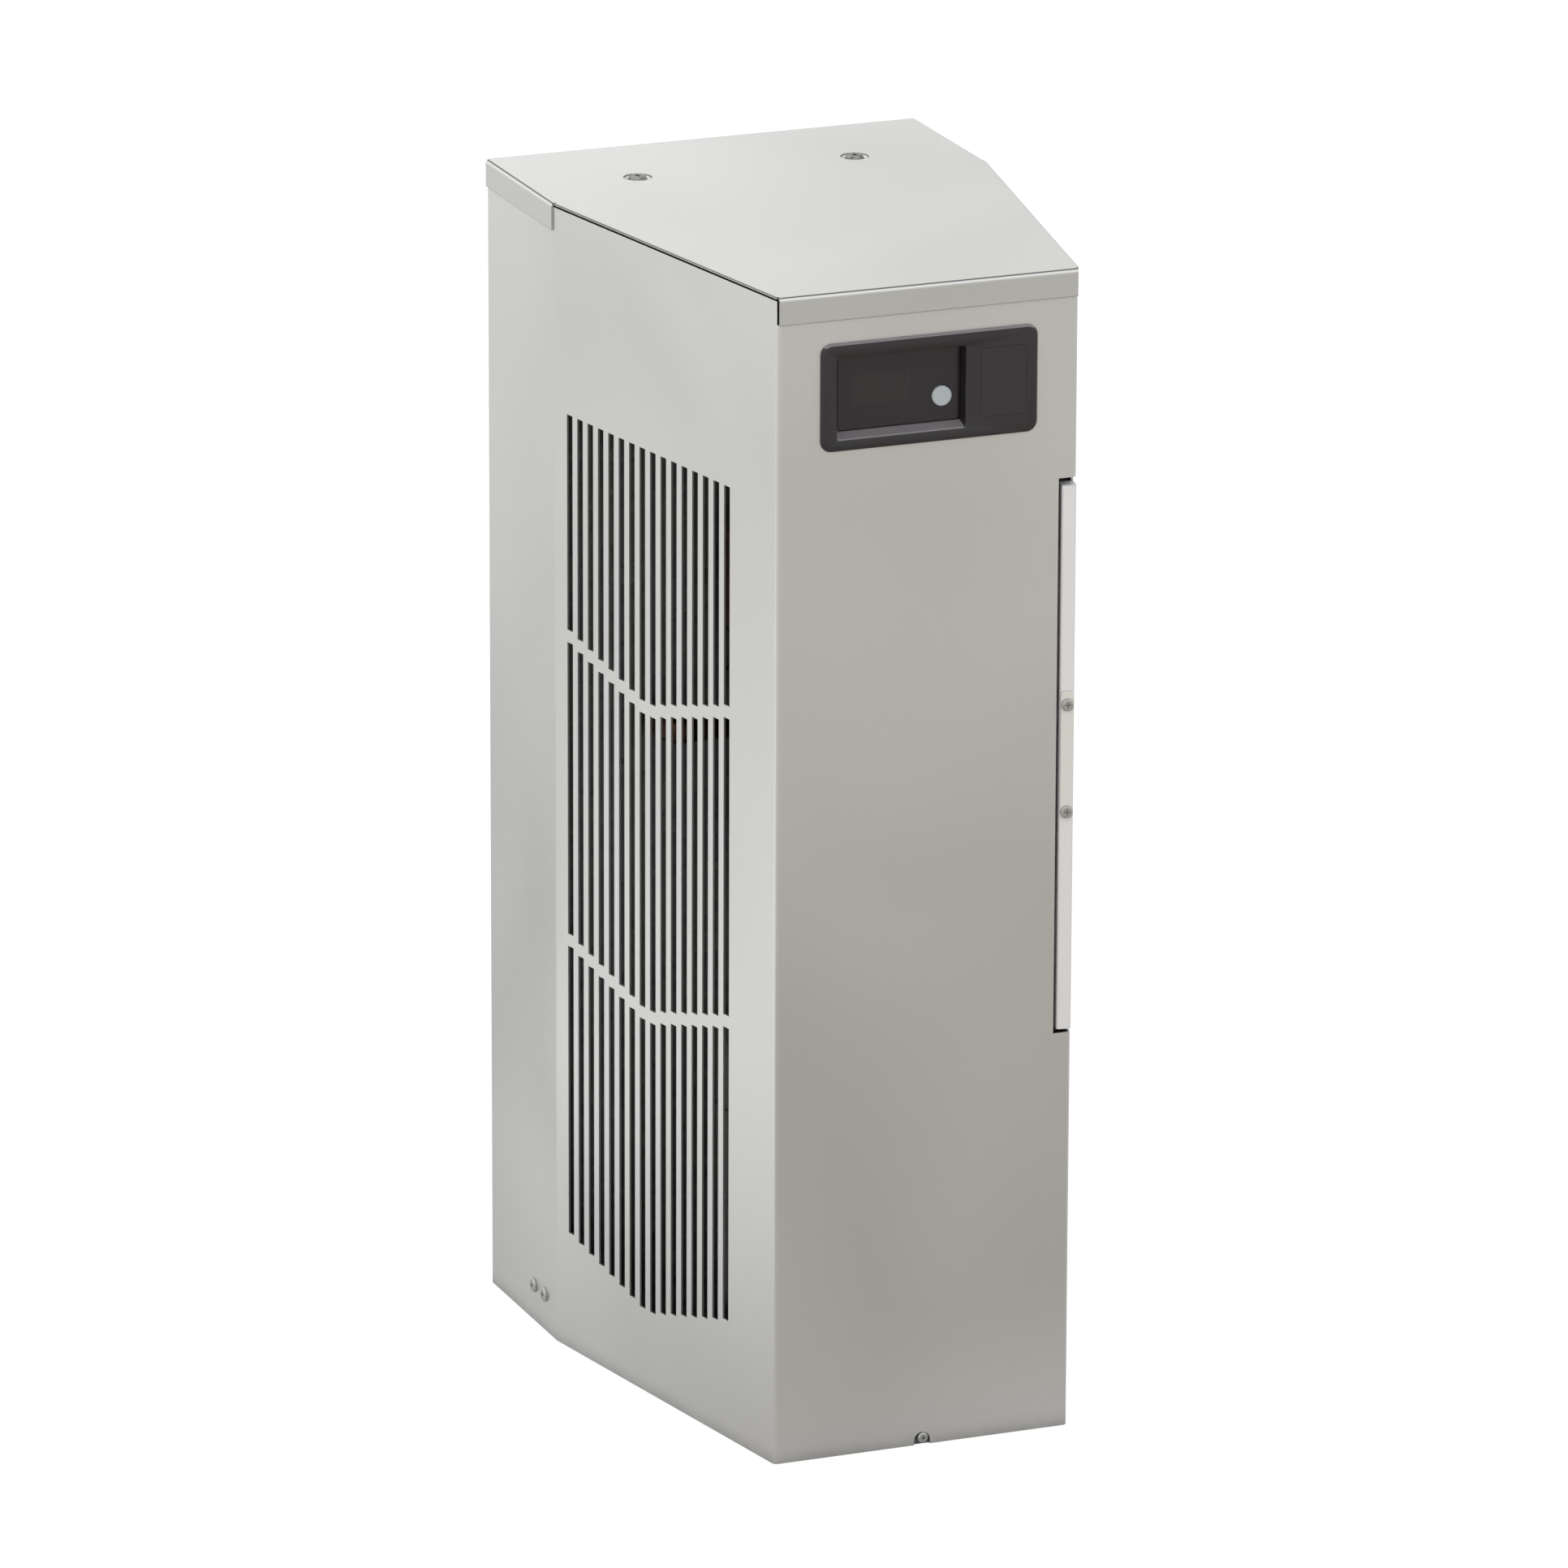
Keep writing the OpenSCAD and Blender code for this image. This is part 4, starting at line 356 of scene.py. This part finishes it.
# Gasket and liner: closed-cell foam, cut from flat sheet and stuck to the back plate and the
# chamber walls. The cut cells show as fine pits.
foam_cells, wanted, given = new_effect("foam_cells", [("Size", number, 900.0)], tone_and_height)
bubbles = shader_node(foam_cells, "ShaderNodeTexVoronoi", vector=place_in(foam_cells),
                      scale=wanted["Size"]).outputs["Distance"]
hollow = maths(foam_cells, "MULTIPLY", bubbles, 1.6, clamp=True)
wall = maths(foam_cells, "SUBTRACT", 1.0, hollow)
cloudy = shader_node(foam_cells, "ShaderNodeTexNoise", vector=place_in(foam_cells), scale=35.0,
                     detail=3.0).outputs[0]
foam_cells.links.new(maths(foam_cells, "MULTIPLY", wall, cloudy, clamp=True), given["Tone"])
foam_cells.links.new(wall, given["Height"])
foam = dress("closed_cell_foam", (foam_cells, dict(size=850.0)), dark=(0.020, 0.020, 0.022),
             light=(0.055, 0.056, 0.06), rough=(0.85, 0.95), relief=(0.5, 0.0004),
             edge_width=0.001)
coat_piece(foam, "mounting_gasket", "insulation_liner")

# Mounting inserts and compressor bolts: turned steel with a yellow zinc plating, whose tint
# shifts between gold and green from place to place.
# Painted shade darkens the inserts and bolts in their corners.
yellow_zinc = dress("yellow_zinc", (grain, dict(stretch=(1500, 1500, 400), contrast=0.6)),
                    dark=(0.42, 0.31, 0.13), light=(0.62, 0.50, 0.24), rough=(0.24, 0.36),
                    relief=(0.05, 0.0001), edge=(0.72, 0.66, 0.48), corner=(0.12, 0.09, 0.04),
                    reach=0.004, metallic=0.9)
coat_piece(yellow_zinc, "mount_inserts", "compressor_bolts")

# Screws: pan heads with a cross recess, cold headed from steel wire. Those of the top and the fan
# are blackened, with painted glints from a high-contrast grain and paler edges. Those of the
# sides and the filter are stainless. Both kinds are painted darker around the head as painted
# shade.
dark_screws = dress("dark_screw_steel", (grain, dict(stretch=(500, 500, 500), contrast=2.2)),
                    dark=(0.06, 0.06, 0.058), light=(0.40, 0.40, 0.39), rough=(0.3, 0.42),
                    relief=(0.08, 0.0001), edge=(0.42, 0.42, 0.41), edge_width=0.0003,
                    corner=(0.012, 0.012, 0.012), reach=0.003, metallic=0.85)
coat_piece(dark_screws, "top_cover_screws", "condenser_fan_screws")
bright_screws = dress("stainless_screws", (grain, dict(stretch=(900, 900, 900), contrast=0.8)),
                      dark=(0.30, 0.30, 0.29), light=(0.66, 0.66, 0.65), rough=(0.26, 0.38),
                      relief=(0.06, 0.0001), edge=(0.76, 0.76, 0.75), edge_width=0.0003,
                      corner=(0.10, 0.098, 0.092), reach=0.002, metallic=0.85)
coat_piece(bright_screws, "front_cover_screw", "side_screws", "filter_screws")


# Display surround: one black moulding that clips into the front panel, with a rounded rim, a deep
# recess for the pane and the button, a shallow pocket for the plate, and posts for the board.
def new_block(name, low, high):
    """A block between two corners, selected alone, with its place in its mesh."""
    bpy.ops.object.select_all(action="DESELECT")
    bpy.ops.mesh.primitive_cube_add(size=1, location=[(a + b) / 2 for a, b in zip(low, high)],
                                    scale=[b - a for a, b in zip(low, high)])
    piece = bpy.context.object
    piece.name = piece.data.name = name
    bpy.ops.object.transform_apply(location=True, rotation=True, scale=True)
    return piece


def new_rod(name, middle, radius, length, sides=48):
    """A rod that lies front to back, selected alone, with its place in its mesh."""
    bpy.ops.object.select_all(action="DESELECT")
    bpy.ops.mesh.primitive_cylinder_add(vertices=sides, radius=radius, depth=length,
                                        location=middle, rotation=(math.pi / 2, 0, 0))
    piece = bpy.context.object
    piece.name = piece.data.name = name
    bpy.ops.object.transform_apply(location=True, rotation=True, scale=True)
    return piece


def pick(piece, kind, chosen):
    """Selects points, edges or faces by their middle and direction, and stays in edit mode."""
    bpy.ops.object.mode_set(mode="EDIT")
    bpy.ops.mesh.select_mode(type=kind)
    bpy.ops.mesh.select_all(action="DESELECT")
    bpy.ops.object.mode_set(mode="OBJECT")
    shape = piece.data
    if kind == "FACE":
        for face in shape.polygons:
            face.select = chosen(face.center, face.normal)
    elif kind == "EDGE":
        for edge in shape.edges:
            first, last = (shape.vertices[i].co for i in edge.vertices)
            edge.select = chosen((first + last) / 2, (last - first).normalized())
    else:
        for point in shape.vertices:
            point.select = chosen(point.co)
    bpy.ops.object.mode_set(mode="EDIT")


def take_up(piece):
    """Selects one piece alone and makes it the active one."""
    bpy.ops.object.select_all(action="DESELECT")
    bpy.context.view_layer.objects.active = piece
    piece.select_set(True)


def cut_away(piece, cutter):
    """Takes the cutter's shape out of the piece and deletes the cutter."""
    cut = piece.modifiers.new("cut", "BOOLEAN")
    cut.object, cut.solver = cutter, "EXACT"
    take_up(piece)
    bpy.ops.object.modifier_apply(modifier=cut.name)
    bpy.data.objects.remove(cutter)


surround_low, surround_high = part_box("display_bezel")
pane_low, pane_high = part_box("display_window")
badge_low, badge_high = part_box("badge_plate")
button_low, button_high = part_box("set_button")
hair, fit, overshoot = 0.00001, 0.0002, 0.001

# Its rim is rounded in front, and its body goes back through the panel as a hollow box.
rim_front, rim_depth, rim_round, rim_soft = surround_low[1], 0.0016, 0.005, 0.0013
body_inset, body_wall, body_back, body_solid = 0.0022, 0.0016, 0.015, 0.007
panel_y = rim_front + rim_depth
surround = new_block("display_surround", surround_low,
                     (surround_high[0], panel_y, surround_high[2]))
pick(surround, "EDGE", lambda middle, way: abs(way.y) > 0.9)
bpy.ops.mesh.bevel(offset=rim_round, segments=8)
pick(surround, "EDGE", lambda middle, way: middle.y < rim_front + hair)
bpy.ops.mesh.bevel(offset=rim_soft, segments=5)
pick(surround, "FACE", lambda middle, normal: normal.y > 0.9)
bpy.ops.mesh.inset(thickness=body_inset)
bpy.ops.mesh.extrude_region_move(TRANSFORM_OT_translate={"value": (0, body_back, 0)})
bpy.ops.mesh.inset(thickness=body_wall)
bpy.ops.mesh.extrude_region_move(TRANSFORM_OT_translate={"value": (0, body_solid - body_back, 0)})
bpy.ops.object.mode_set(mode="OBJECT")

# The recess ends at the pane. Its left wall and its sill slope, and its mouth flares a little.
recess_low, recess_high = (-0.043, 0.4675), (0.017, 0.5035)
recess_wide, recess_tall = 0.060, 0.036
floor_y, lip_depth, recess_round = pane_low[1], 0.0006, 0.0012
left_slope, sill_slope, steep = 0.0020, 0.0027, 0.0007
mouth_steps = ((0.00008, 0.0002), (0.00018, 0.0002), (0.00036, 0.0002), (0.0, 0.002))
recess = new_block("recess_cutter", (recess_low[0], rim_front + lip_depth, recess_low[1]),
                   (recess_high[0], floor_y, recess_high[1]))
middle_x, middle_z = (recess_low[0] + recess_high[0]) / 2, (recess_low[1] + recess_high[1]) / 2
for chosen, push in ((lambda p: p.x < middle_x, (left_slope, 0, 0)),
                     (lambda p: p.x > middle_x, (-steep, 0, 0)),
                     (lambda p: p.z < middle_z, (0, 0, sill_slope)),
                     (lambda p: p.z > middle_z, (0, 0, -steep))):
    pick(recess, "VERT", lambda p: p.y > floor_y - hair and chosen(p))
    bpy.ops.transform.translate(value=push)
pick(recess, "EDGE", lambda middle, way: abs(way.y) > 0.6)
bpy.ops.mesh.bevel(offset=recess_round, segments=4)
pick(recess, "FACE", lambda middle, normal: normal.y < -0.9)
for out, forward in mouth_steps:
    bpy.ops.mesh.extrude_region_move(TRANSFORM_OT_translate={"value": (0, -forward, 0)})
    bpy.ops.transform.resize(value=(1 + 2 * out / recess_wide, 1, 1 + 2 * out / recess_tall))
bpy.ops.object.mode_set(mode="OBJECT")
cut_away(surround, recess)

# Openings for the pane and the button's stem, and the plate's pocket.
button_x, button_z = (button_low[0] + button_high[0]) / 2, (button_low[2] + button_high[2]) / 2
button_hole, drill_length, drill_middle = 0.0048, 0.04, rim_front + 0.01
pocket_depth, pocket_round = 0.0008, 0.0008
cut_away(surround, new_block(
    "pane_cutter", (pane_low[0] - fit, pane_low[1] - overshoot, pane_low[2] - fit),
    (pane_high[0] + fit, pane_high[1] + fit, pane_high[2] + fit)))
cut_away(surround, new_rod("button_cutter", (button_x, drill_middle, button_z), button_hole,
                           drill_length))
pocket = new_block("pocket_cutter", (badge_low[0] - fit, rim_front - overshoot, badge_low[2] - fit),
                   (badge_high[0] + fit, rim_front + pocket_depth, badge_high[2] + fit))
pick(pocket, "EDGE", lambda middle, way: abs(way.y) > 0.9)
bpy.ops.mesh.bevel(offset=pocket_round, segments=3)
bpy.ops.object.mode_set(mode="OBJECT")
cut_away(surround, pocket)

# Four posts for the board's screws, and four sloped clips that catch behind the panel.
post_x, post_z, post_radius = 0.0417, 0.01535, 0.0025
post_start, post_end = panel_y + 0.0065, panel_y + 0.012
clip_x, clip_z, clip_half_wide, clip_half_tall = 0.02415, 0.02195, 0.006, 0.0014
clip_start, clip_end, clip_slope = panel_y + 0.0012, panel_y + 0.0042, 0.001
centre_x = (surround_low[0] + surround_high[0]) / 2
centre_z = (surround_low[2] + surround_high[2]) / 2
added = []
for side in (-1, 1):
    for level in (-1, 1):
        added.append(new_rod("board_post", (centre_x + side * post_x, (post_start + post_end) / 2,
                                            centre_z + level * post_z),
                             post_radius, post_end - post_start, 24))
        x, z = centre_x + side * clip_x, centre_z + level * clip_z
        clip = new_block("clip", (x - clip_half_wide, clip_start, z - clip_half_tall),
                         (x + clip_half_wide, clip_end, z + clip_half_tall))
        pick(clip, "EDGE", lambda middle, way: middle.y > clip_end - fit and abs(way.x) > 0.9)
        bpy.ops.mesh.bevel(offset=clip_slope, segments=2)
        bpy.ops.object.mode_set(mode="OBJECT")
        added.append(clip)
take_up(surround)
for piece in added:
    piece.select_set(True)
bpy.ops.object.join()
take_up(surround)
bpy.ops.object.shade_smooth_by_angle(angle=math.radians(40))

plastic = dress("black_moulded_plastic", (skin, dict(size=1500.0, contrast=1.6)),
                dark=(0.007, 0.0054, 0.0072), light=(0.015, 0.0118, 0.0152), rough=(0.26, 0.36),
                relief=(0.05, 0.0001), edge=(0.04, 0.034, 0.04), edge_width=0.0003,
                coat_weight=0.35, coat_roughness=0.12)
surround.data.materials.append(plastic)
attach(surround, "unit")
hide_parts("display_bezel")

# Painted highlight: the upward faces of the sill and of the top of the rim get a paler finish.
highlight_plastic = dress("painted_highlight_plastic", (skin, dict(size=1500.0, contrast=1.2)),
               dark=(0.16, 0.148, 0.162), light=(0.22, 0.205, 0.222), rough=(0.22, 0.30),
               relief=(0.04, 0.0001), coat_weight=0.6, coat_roughness=0.1)
surround.data.materials.append(highlight_plastic)
surround.active_material_index = 1
highlight_depth, highlight_rim, sill_height = 0.006, 0.0016, 0.0045


def takes_painted_highlight(middle, normal):
    on_rim = middle.z > surround_high[2] - highlight_rim
    on_sill = (recess_low[1] - overshoot < middle.z < recess_low[1] + sill_height
               and middle.x < recess_high[0] - overshoot)
    return normal.z > 0.4 and middle.y < panel_y + highlight_depth and (on_rim or on_sill)


pick(surround, "FACE", takes_painted_highlight)
bpy.ops.object.material_slot_assign()
bpy.ops.object.mode_set(mode="OBJECT")

# Terminal cover, fan frame and impeller: the same black plastic, moulded in one shot each. The
# cover snaps over the compressor's pins, and the impeller is pressed on its shaft.
coat_piece(plastic, "terminal_cover", "condenser_fan_frame", "condenser_impeller")

# Display window: a smoked plastic pane laid in the recess over the digits. Only the block of the
# unlit digits shows through it, as a faint paler field.
digits = (("X", -0.0344, -0.0067), ("Z", 0.4804, 0.4940))
digits_sharp, pane_gloss, gloss_range = 2500.0, 0.16, 0.08
pane, tree, shader = new_finish("smoked_pane")
across = shader_node(tree, "ShaderNodeSeparateXYZ", i0=place_in(tree)).outputs
field = 1.0
for axis, low, high in digits:
    away = maths(tree, "ABSOLUTE", maths(tree, "SUBTRACT", across[axis], (low + high) / 2))
    inside = maths(tree, "MULTIPLY", maths(tree, "SUBTRACT", (high - low) / 2, away), digits_sharp,
                   clamp=True)
    field = maths(tree, "MULTIPLY", inside, field)
haze = use_effect(tree, skin, size=300.0, contrast=0.5)["Tone"]
glass = blend_colours(tree, haze, (0.012, 0.0098, 0.0122, 1), (0.018, 0.0152, 0.0182, 1))
glass = blend_colours(tree, field, glass, (0.021, 0.0178, 0.0195, 1))
tree.links.new(glass, shader.inputs["Base Color"])
gloss = maths(tree, "MULTIPLY_ADD", haze, gloss_range, pane_gloss)
tree.links.new(gloss, shader.inputs["Roughness"])
tree.links.new(use_effect(tree, edges, width=0.0002)["Normal"], shader.inputs["Normal"])
coat_piece(pane, "display_window")

# Plate at the right of the surround: a thin black strip with a fine satin face, pressed into
# its pocket and left bare.
plate_finish = dress("bare_satin_plate", (skin, dict(size=2600.0, contrast=1.6)),
                     dark=(0.009, 0.0072, 0.009), light=(0.017, 0.0138, 0.017),
                     rough=(0.34, 0.42), relief=(0.08, 0.0001), edge=(0.09, 0.085, 0.09),
                     edge_width=0.0004, coat_weight=0.35, coat_roughness=0.15)
coat_piece(plate_finish, "badge_plate")

# Push button: a pale grey-blue moulded cap that slides through the pane onto the switch behind.
# Its edge is worn a little paler by fingers.
cap_plastic = dress("grey_button_plastic", (skin, dict(size=1200.0, contrast=1.2)),
                    dark=(0.46, 0.505, 0.54), light=(0.55, 0.595, 0.625), rough=(0.4, 0.5),
                    relief=(0.04, 0.0001), edge=(0.66, 0.70, 0.72), edge_width=0.0005)
coat_piece(cap_plastic, "set_button")

# Display board: green glass-epoxy laminate with etched copper tracks under the lacquer. The digit
# block and the switch are soldered on, and the board is screwed to the surround's posts.
tracks, wanted, given = new_effect("etched_tracks", [("Size", number, 400.0)], tone_and_height)
runs = shader_node(tracks, "ShaderNodeTexBrick", {"offset": 0.35, "squash_frequency": 3},
                   vector=place_in(tracks), scale=wanted["Size"], color1=(0.1, 0.1, 0.1, 1),
                   color2=(0.9, 0.9, 0.9, 1), mortar=(0.5, 0.5, 0.5, 1)).outputs["Color"]
track_tone = shader_node(tracks, "ShaderNodeSeparateColor", i0=runs).outputs[0]
tracks.links.new(track_tone, given["Tone"])
tracks.links.new(track_tone, given["Height"])
laminate = dress("green_laminate", (tracks, dict(size=160.0)), dark=(0.008, 0.055, 0.022),
                 light=(0.02, 0.11, 0.045), rough=(0.28, 0.4), relief=(0.2, 0.0001),
                 edge=(0.20, 0.19, 0.10))
coat_piece(laminate, "display_board")

# Filter mesh: two layers of expanded aluminium, slit and stretched into fine diamonds, which lie
# one behind the other in the cassette. The cassette stands just inside the right side's slots.
side_lean = math.radians(10.1678)
filter_place, filter_turn = (0.070, -0.135081), math.pi / 2 - side_lean


def point_on_side(along, inward):
    """X and Y of a point at a distance back along the right side's plane and in from it."""
    return (filter_place[0] + along * math.sin(side_lean) - inward * math.cos(side_lean),
            filter_place[1] + along * math.cos(side_lean) + inward * math.sin(side_lean))


def fix_place(piece):
    """Puts the piece's place, turn and size into its mesh."""
    take_up(piece)
    bpy.ops.object.transform_apply(location=True, rotation=True, scale=True)


def new_sheet(columns, rows, wide, high):
    """A flat sheet in rows and columns, selected alone."""
    bpy.ops.object.select_all(action="DESELECT")
    bpy.ops.mesh.primitive_grid_add(x_subdivisions=columns, y_subdivisions=rows, size=1)
    sheet = bpy.context.object
    sheet.scale = (wide, high, 1)
    fix_place(sheet)
    return sheet


mesh_wide, mesh_high, mesh_mid_along, mesh_mid_z, strand = 0.1630, 0.2400, 0.0925, 0.31085, 0.00055
front_layer, rear_layer, margin = (0.0034, 34, 46), (0.0048, 31, 50), 0.0001
layers = []
for inward, columns, rows in (front_layer, rear_layer):
    layer = new_sheet(columns, rows, mesh_wide, mesh_high)
    bpy.ops.object.mode_set(mode="EDIT")
    bpy.ops.mesh.select_all(action="SELECT")
    bpy.ops.mesh.poke()
    pick(layer, "EDGE", lambda middle, way:
         (abs(way.x) > 0.99 and abs(middle.y) < mesh_high / 2 - margin)
         or (abs(way.y) > 0.99 and abs(middle.x) < mesh_wide / 2 - margin))
    bpy.ops.mesh.dissolve_edges(use_verts=False)
    bpy.ops.object.mode_set(mode="OBJECT")
    strands = layer.modifiers.new("strands", "WIREFRAME")
    strands.thickness, strands.use_even_offset = strand, False
    bpy.ops.object.modifier_apply(modifier=strands.name)
    layer.location = (*point_on_side(mesh_mid_along, inward), mesh_mid_z)
    layer.rotation_euler = (math.pi / 2, 0, filter_turn)
    fix_place(layer)
    layers.append(layer)
take_up(layers[0])
layers[1].select_set(True)
bpy.ops.object.join()
screen = layers[0]
screen.name = screen.data.name = "fine_filter_mesh"
screen_finish = dress("expanded_aluminium", (grain, dict(stretch=(600, 600, 600), contrast=1.0)),
                      dark=(0.42, 0.42, 0.41), light=(0.60, 0.60, 0.59), rough=(0.34, 0.46),
                      relief=(0.1, 0.0002), edge_width=0.0002, metallic=0.85)
screen.data.materials.append(screen_finish)
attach(screen, "filter_cassette")
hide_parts("filter_mesh")

# Filter frame and capacitor can: drawn aluminium, left bright. The frame is an extruded channel
# with mitred corners that holds the mesh, and the can is deep drawn from one blank.
# Painted shade darkens the frame and the can in their corners.
drawn_aluminium = dress("extruded_aluminium",
                        (grain, dict(stretch=(1800, 1800, 30), contrast=0.7)),
                        dark=(0.50, 0.505, 0.51), light=(0.66, 0.665, 0.67), rough=(0.3, 0.42),
                        relief=(0.08, 0.0001), edge=(0.75, 0.75, 0.75), corner=(0.2, 0.2, 0.2),
                        reach=0.004, metallic=0.85)
coat_piece(drawn_aluminium, "filter_frame", "run_capacitor")

# End strip of the filter: a folded steel strip with a white powder coat, which closes the notch
# in the front corner.
# Painted shade darkens the strip in its corners.
powder = dress("white_powder_coat", (skin, dict(size=1100.0, contrast=1.0)),
               dark=(0.83, 0.825, 0.835), light=(0.90, 0.895, 0.905), rough=(0.36, 0.44),
               relief=(0.12, 0.0002), edge=(0.72, 0.72, 0.72), edge_width=0.0005,
               corner=(0.3, 0.29, 0.28), reach=0.003)
coat_piece(powder, "filter_end_strip")

# Pull plate of the filter and terminal block: ivory plastic, moulded and held by screws. The
# pull plate is gripped to draw the cassette out.
# Painted shade darkens the plastic in its corners.
ivory = dress("ivory_moulded_plastic", (skin, dict(size=1300.0, contrast=1.0)),
              dark=(0.78, 0.77, 0.725), light=(0.86, 0.85, 0.805), rough=(0.36, 0.46),
              relief=(0.05, 0.0001), edge=(0.80, 0.78, 0.74), edge_width=0.0003,
              corner=(0.34, 0.31, 0.26), reach=0.002)
coat_piece(ivory, "filter_pull_plate", "terminal_block")

# Compressor, accumulator and blower motor: deep-drawn steel shells, welded shut and dipped in
# black enamel, which pools in soft waves.
enamel = dress("black_enamel", (skin, dict(size=320.0, contrast=1.6)), dark=(0.008, 0.008, 0.009),
               light=(0.020, 0.020, 0.021), rough=(0.22, 0.34), relief=(0.12, 0.0004),
               edge=(0.05, 0.05, 0.05), edge_width=0.0008)
coat_piece(enamel, "compressor", "accumulator", "blower_motor")

# Compressor feet, drain hose and cable lead-through: black rubber, moulded or extruded, with a
# dull skin. The feet carry the compressor on its bolts.
rubber = dress("black_rubber", (skin, dict(size=800.0, contrast=2.0)), dark=(0.012, 0.012, 0.012),
               light=(0.030, 0.030, 0.030), rough=(0.7, 0.85), relief=(0.2, 0.0003),
               edge=(0.05, 0.05, 0.05), edge_width=0.0006)
coat_piece(rubber, "compressor_grommets", "drain_hose", "cable_grommet")

# Refrigerant pipes: drawn copper tube with brazed elbows, dulled brown by handling and heat. The
# tubes of both coils are expanded into their fins.
tarnish, wanted, given = new_effect("tarnish", [("Size", number, 30.0)], tone_and_height)
bloom = shader_node(tarnish, "ShaderNodeTexNoise", vector=place_in(tarnish), scale=wanted["Size"],
                    detail=6.0, roughness=0.65, distortion=1.2).outputs[0]
steep_bloom = shader_node(tarnish, "ShaderNodeMapRange", i0=bloom, i1=0.35, i2=0.68).outputs[0]
fine = shader_node(tarnish, "ShaderNodeTexNoise", vector=place_in(tarnish), scale=900.0,
                   detail=2.0).outputs[0]
tarnish.links.new(steep_bloom, given["Tone"])
tarnish.links.new(fine, given["Height"])
# Painted shade darkens the copper where it runs close to other parts.
copper = dress("dull_copper", (tarnish, dict(size=34.0)), dark=(0.028, 0.0145, 0.010),
               light=(0.10, 0.048, 0.030), rough=(0.42, 0.28), relief=(0.05, 0.0001),
               edge=(0.34, 0.17, 0.10), corner=(0.03, 0.016, 0.011), reach=0.06, metallic=0.9)
coat_piece(copper, "condenser_tubes", "condenser_return_bends", "evaporator_tubes",
           "evaporator_return_bends", "discharge_line", "suction_line", "filter_drier",
           "capillary_tube")

# Coil fins: thin aluminium leaves, rippled in a press so that the air turns over, and pushed onto
# the copper tubes 2 mm apart. Those of the condenser stand in the right side's frame.
fin_deep, fin_pitch, fin_thick, fin_ripples, ripple_height = 0.038, 0.0020, 0.00015, 12, 0.0005


def stack_fins(name, node, high, count):
    """One rippled leaf, thickened and repeated along its own normal. It lies flat at first."""
    leaf = new_sheet(fin_ripples, 2, fin_deep, high)
    leaf.name = leaf.data.name = name
    step = fin_deep / fin_ripples
    pick(leaf, "VERT", lambda p: round((p.x + fin_deep / 2) / step) % 2 == 1)
    bpy.ops.transform.translate(value=(0, 0, ripple_height))
    bpy.ops.object.mode_set(mode="OBJECT")
    leaf.modifiers.new("thick", "SOLIDIFY").thickness = fin_thick
    row = leaf.modifiers.new("row", "ARRAY")
    row.count, row.use_relative_offset, row.use_constant_offset = count, False, True
    row.constant_offset_displace = (0, 0, fin_pitch)
    bpy.ops.object.modifier_apply(modifier="thick")
    bpy.ops.object.modifier_apply(modifier="row")
    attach(leaf, "unit")
    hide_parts(node)
    return leaf


condenser_high, condenser_count, condenser_middle_z = 0.250, 61, 0.3098
first_fin_along, fins_inward = 0.0270, 0.0283
condenser_leaves = stack_fins("condenser_leaves", "condenser_fins", condenser_high,
                              condenser_count)
condenser_x, condenser_y = point_on_side(first_fin_along, fins_inward)
condenser_leaves.matrix_world = Matrix((
    (-math.cos(side_lean), 0, math.sin(side_lean), condenser_x),
    (math.sin(side_lean), 0, math.cos(side_lean), condenser_y),
    (0, 1, 0, condenser_middle_z), (0, 0, 0, 1)))
fix_place(condenser_leaves)
# The condenser's leaves are a duller grey, and painted darker between them as painted shade.
shaded_condenser_fins = dress("pressed_fin_aluminium",
                   (grain, dict(stretch=(500, 500, 60), contrast=1.2)),
                   dark=(0.36, 0.365, 0.37), light=(0.56, 0.565, 0.57), rough=(0.32, 0.48),
                   relief=(0.08, 0.0001), edge_width=0.0001, corner=(0.05, 0.05, 0.05),
                   reach=0.006, metallic=0.8)
condenser_leaves.data.materials.append(shaded_condenser_fins)

evaporator_count = 71
coil_low, coil_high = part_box("evaporator_fins")
evaporator_leaves = stack_fins("evaporator_leaves", "evaporator_fins",
                               coil_high[2] - coil_low[2], evaporator_count)
evaporator_leaves.matrix_world = Matrix((
    (0, 0, 1, coil_low[0]), (1, 0, 0, (coil_low[1] + coil_high[1]) / 2),
    (0, 1, 0, (coil_low[2] + coil_high[2]) / 2), (0, 0, 0, 1)))
fix_place(evaporator_leaves)
clean_fins = dress("clean_fin_aluminium", (grain, dict(stretch=(60, 500, 500), contrast=1.2)),
                   dark=(0.62, 0.625, 0.63), light=(0.82, 0.825, 0.83), rough=(0.36, 0.50),
                   relief=(0.08, 0.0001), edge_width=0.0001, metallic=0.55)
evaporator_leaves.data.materials.append(clean_fins)

# Shafts of the fan and the blower: ground steel rods that run in oiled bearings and stay bright.
# Each is pressed into the hub that it turns.
ground = dress("ground_shaft_steel", (grain, dict(stretch=(3000, 3000, 3000), contrast=0.6)),
               dark=(0.42, 0.42, 0.425), light=(0.62, 0.62, 0.625), rough=(0.16, 0.28),
               relief=(0.04, 0.0001), edge=(0.75, 0.75, 0.75), metallic=0.95)
coat_piece(ground, "condenser_fan_shaft", "blower_shaft")

# Blower wheel: moulded in one piece from grey-green plastic, with forward-curved blades between
# two rings. It is painted darker between the blades as painted shade.
wheel = dress("blower_wheel_plastic", (skin, dict(size=1000.0, contrast=1.4)),
              dark=(0.11, 0.12, 0.12), light=(0.17, 0.18, 0.18), rough=(0.42, 0.55),
              relief=(0.08, 0.0002), edge=(0.26, 0.27, 0.27), corner=(0.055, 0.053, 0.05),
              reach=0.006)
coat_piece(wheel, "blower_wheel")
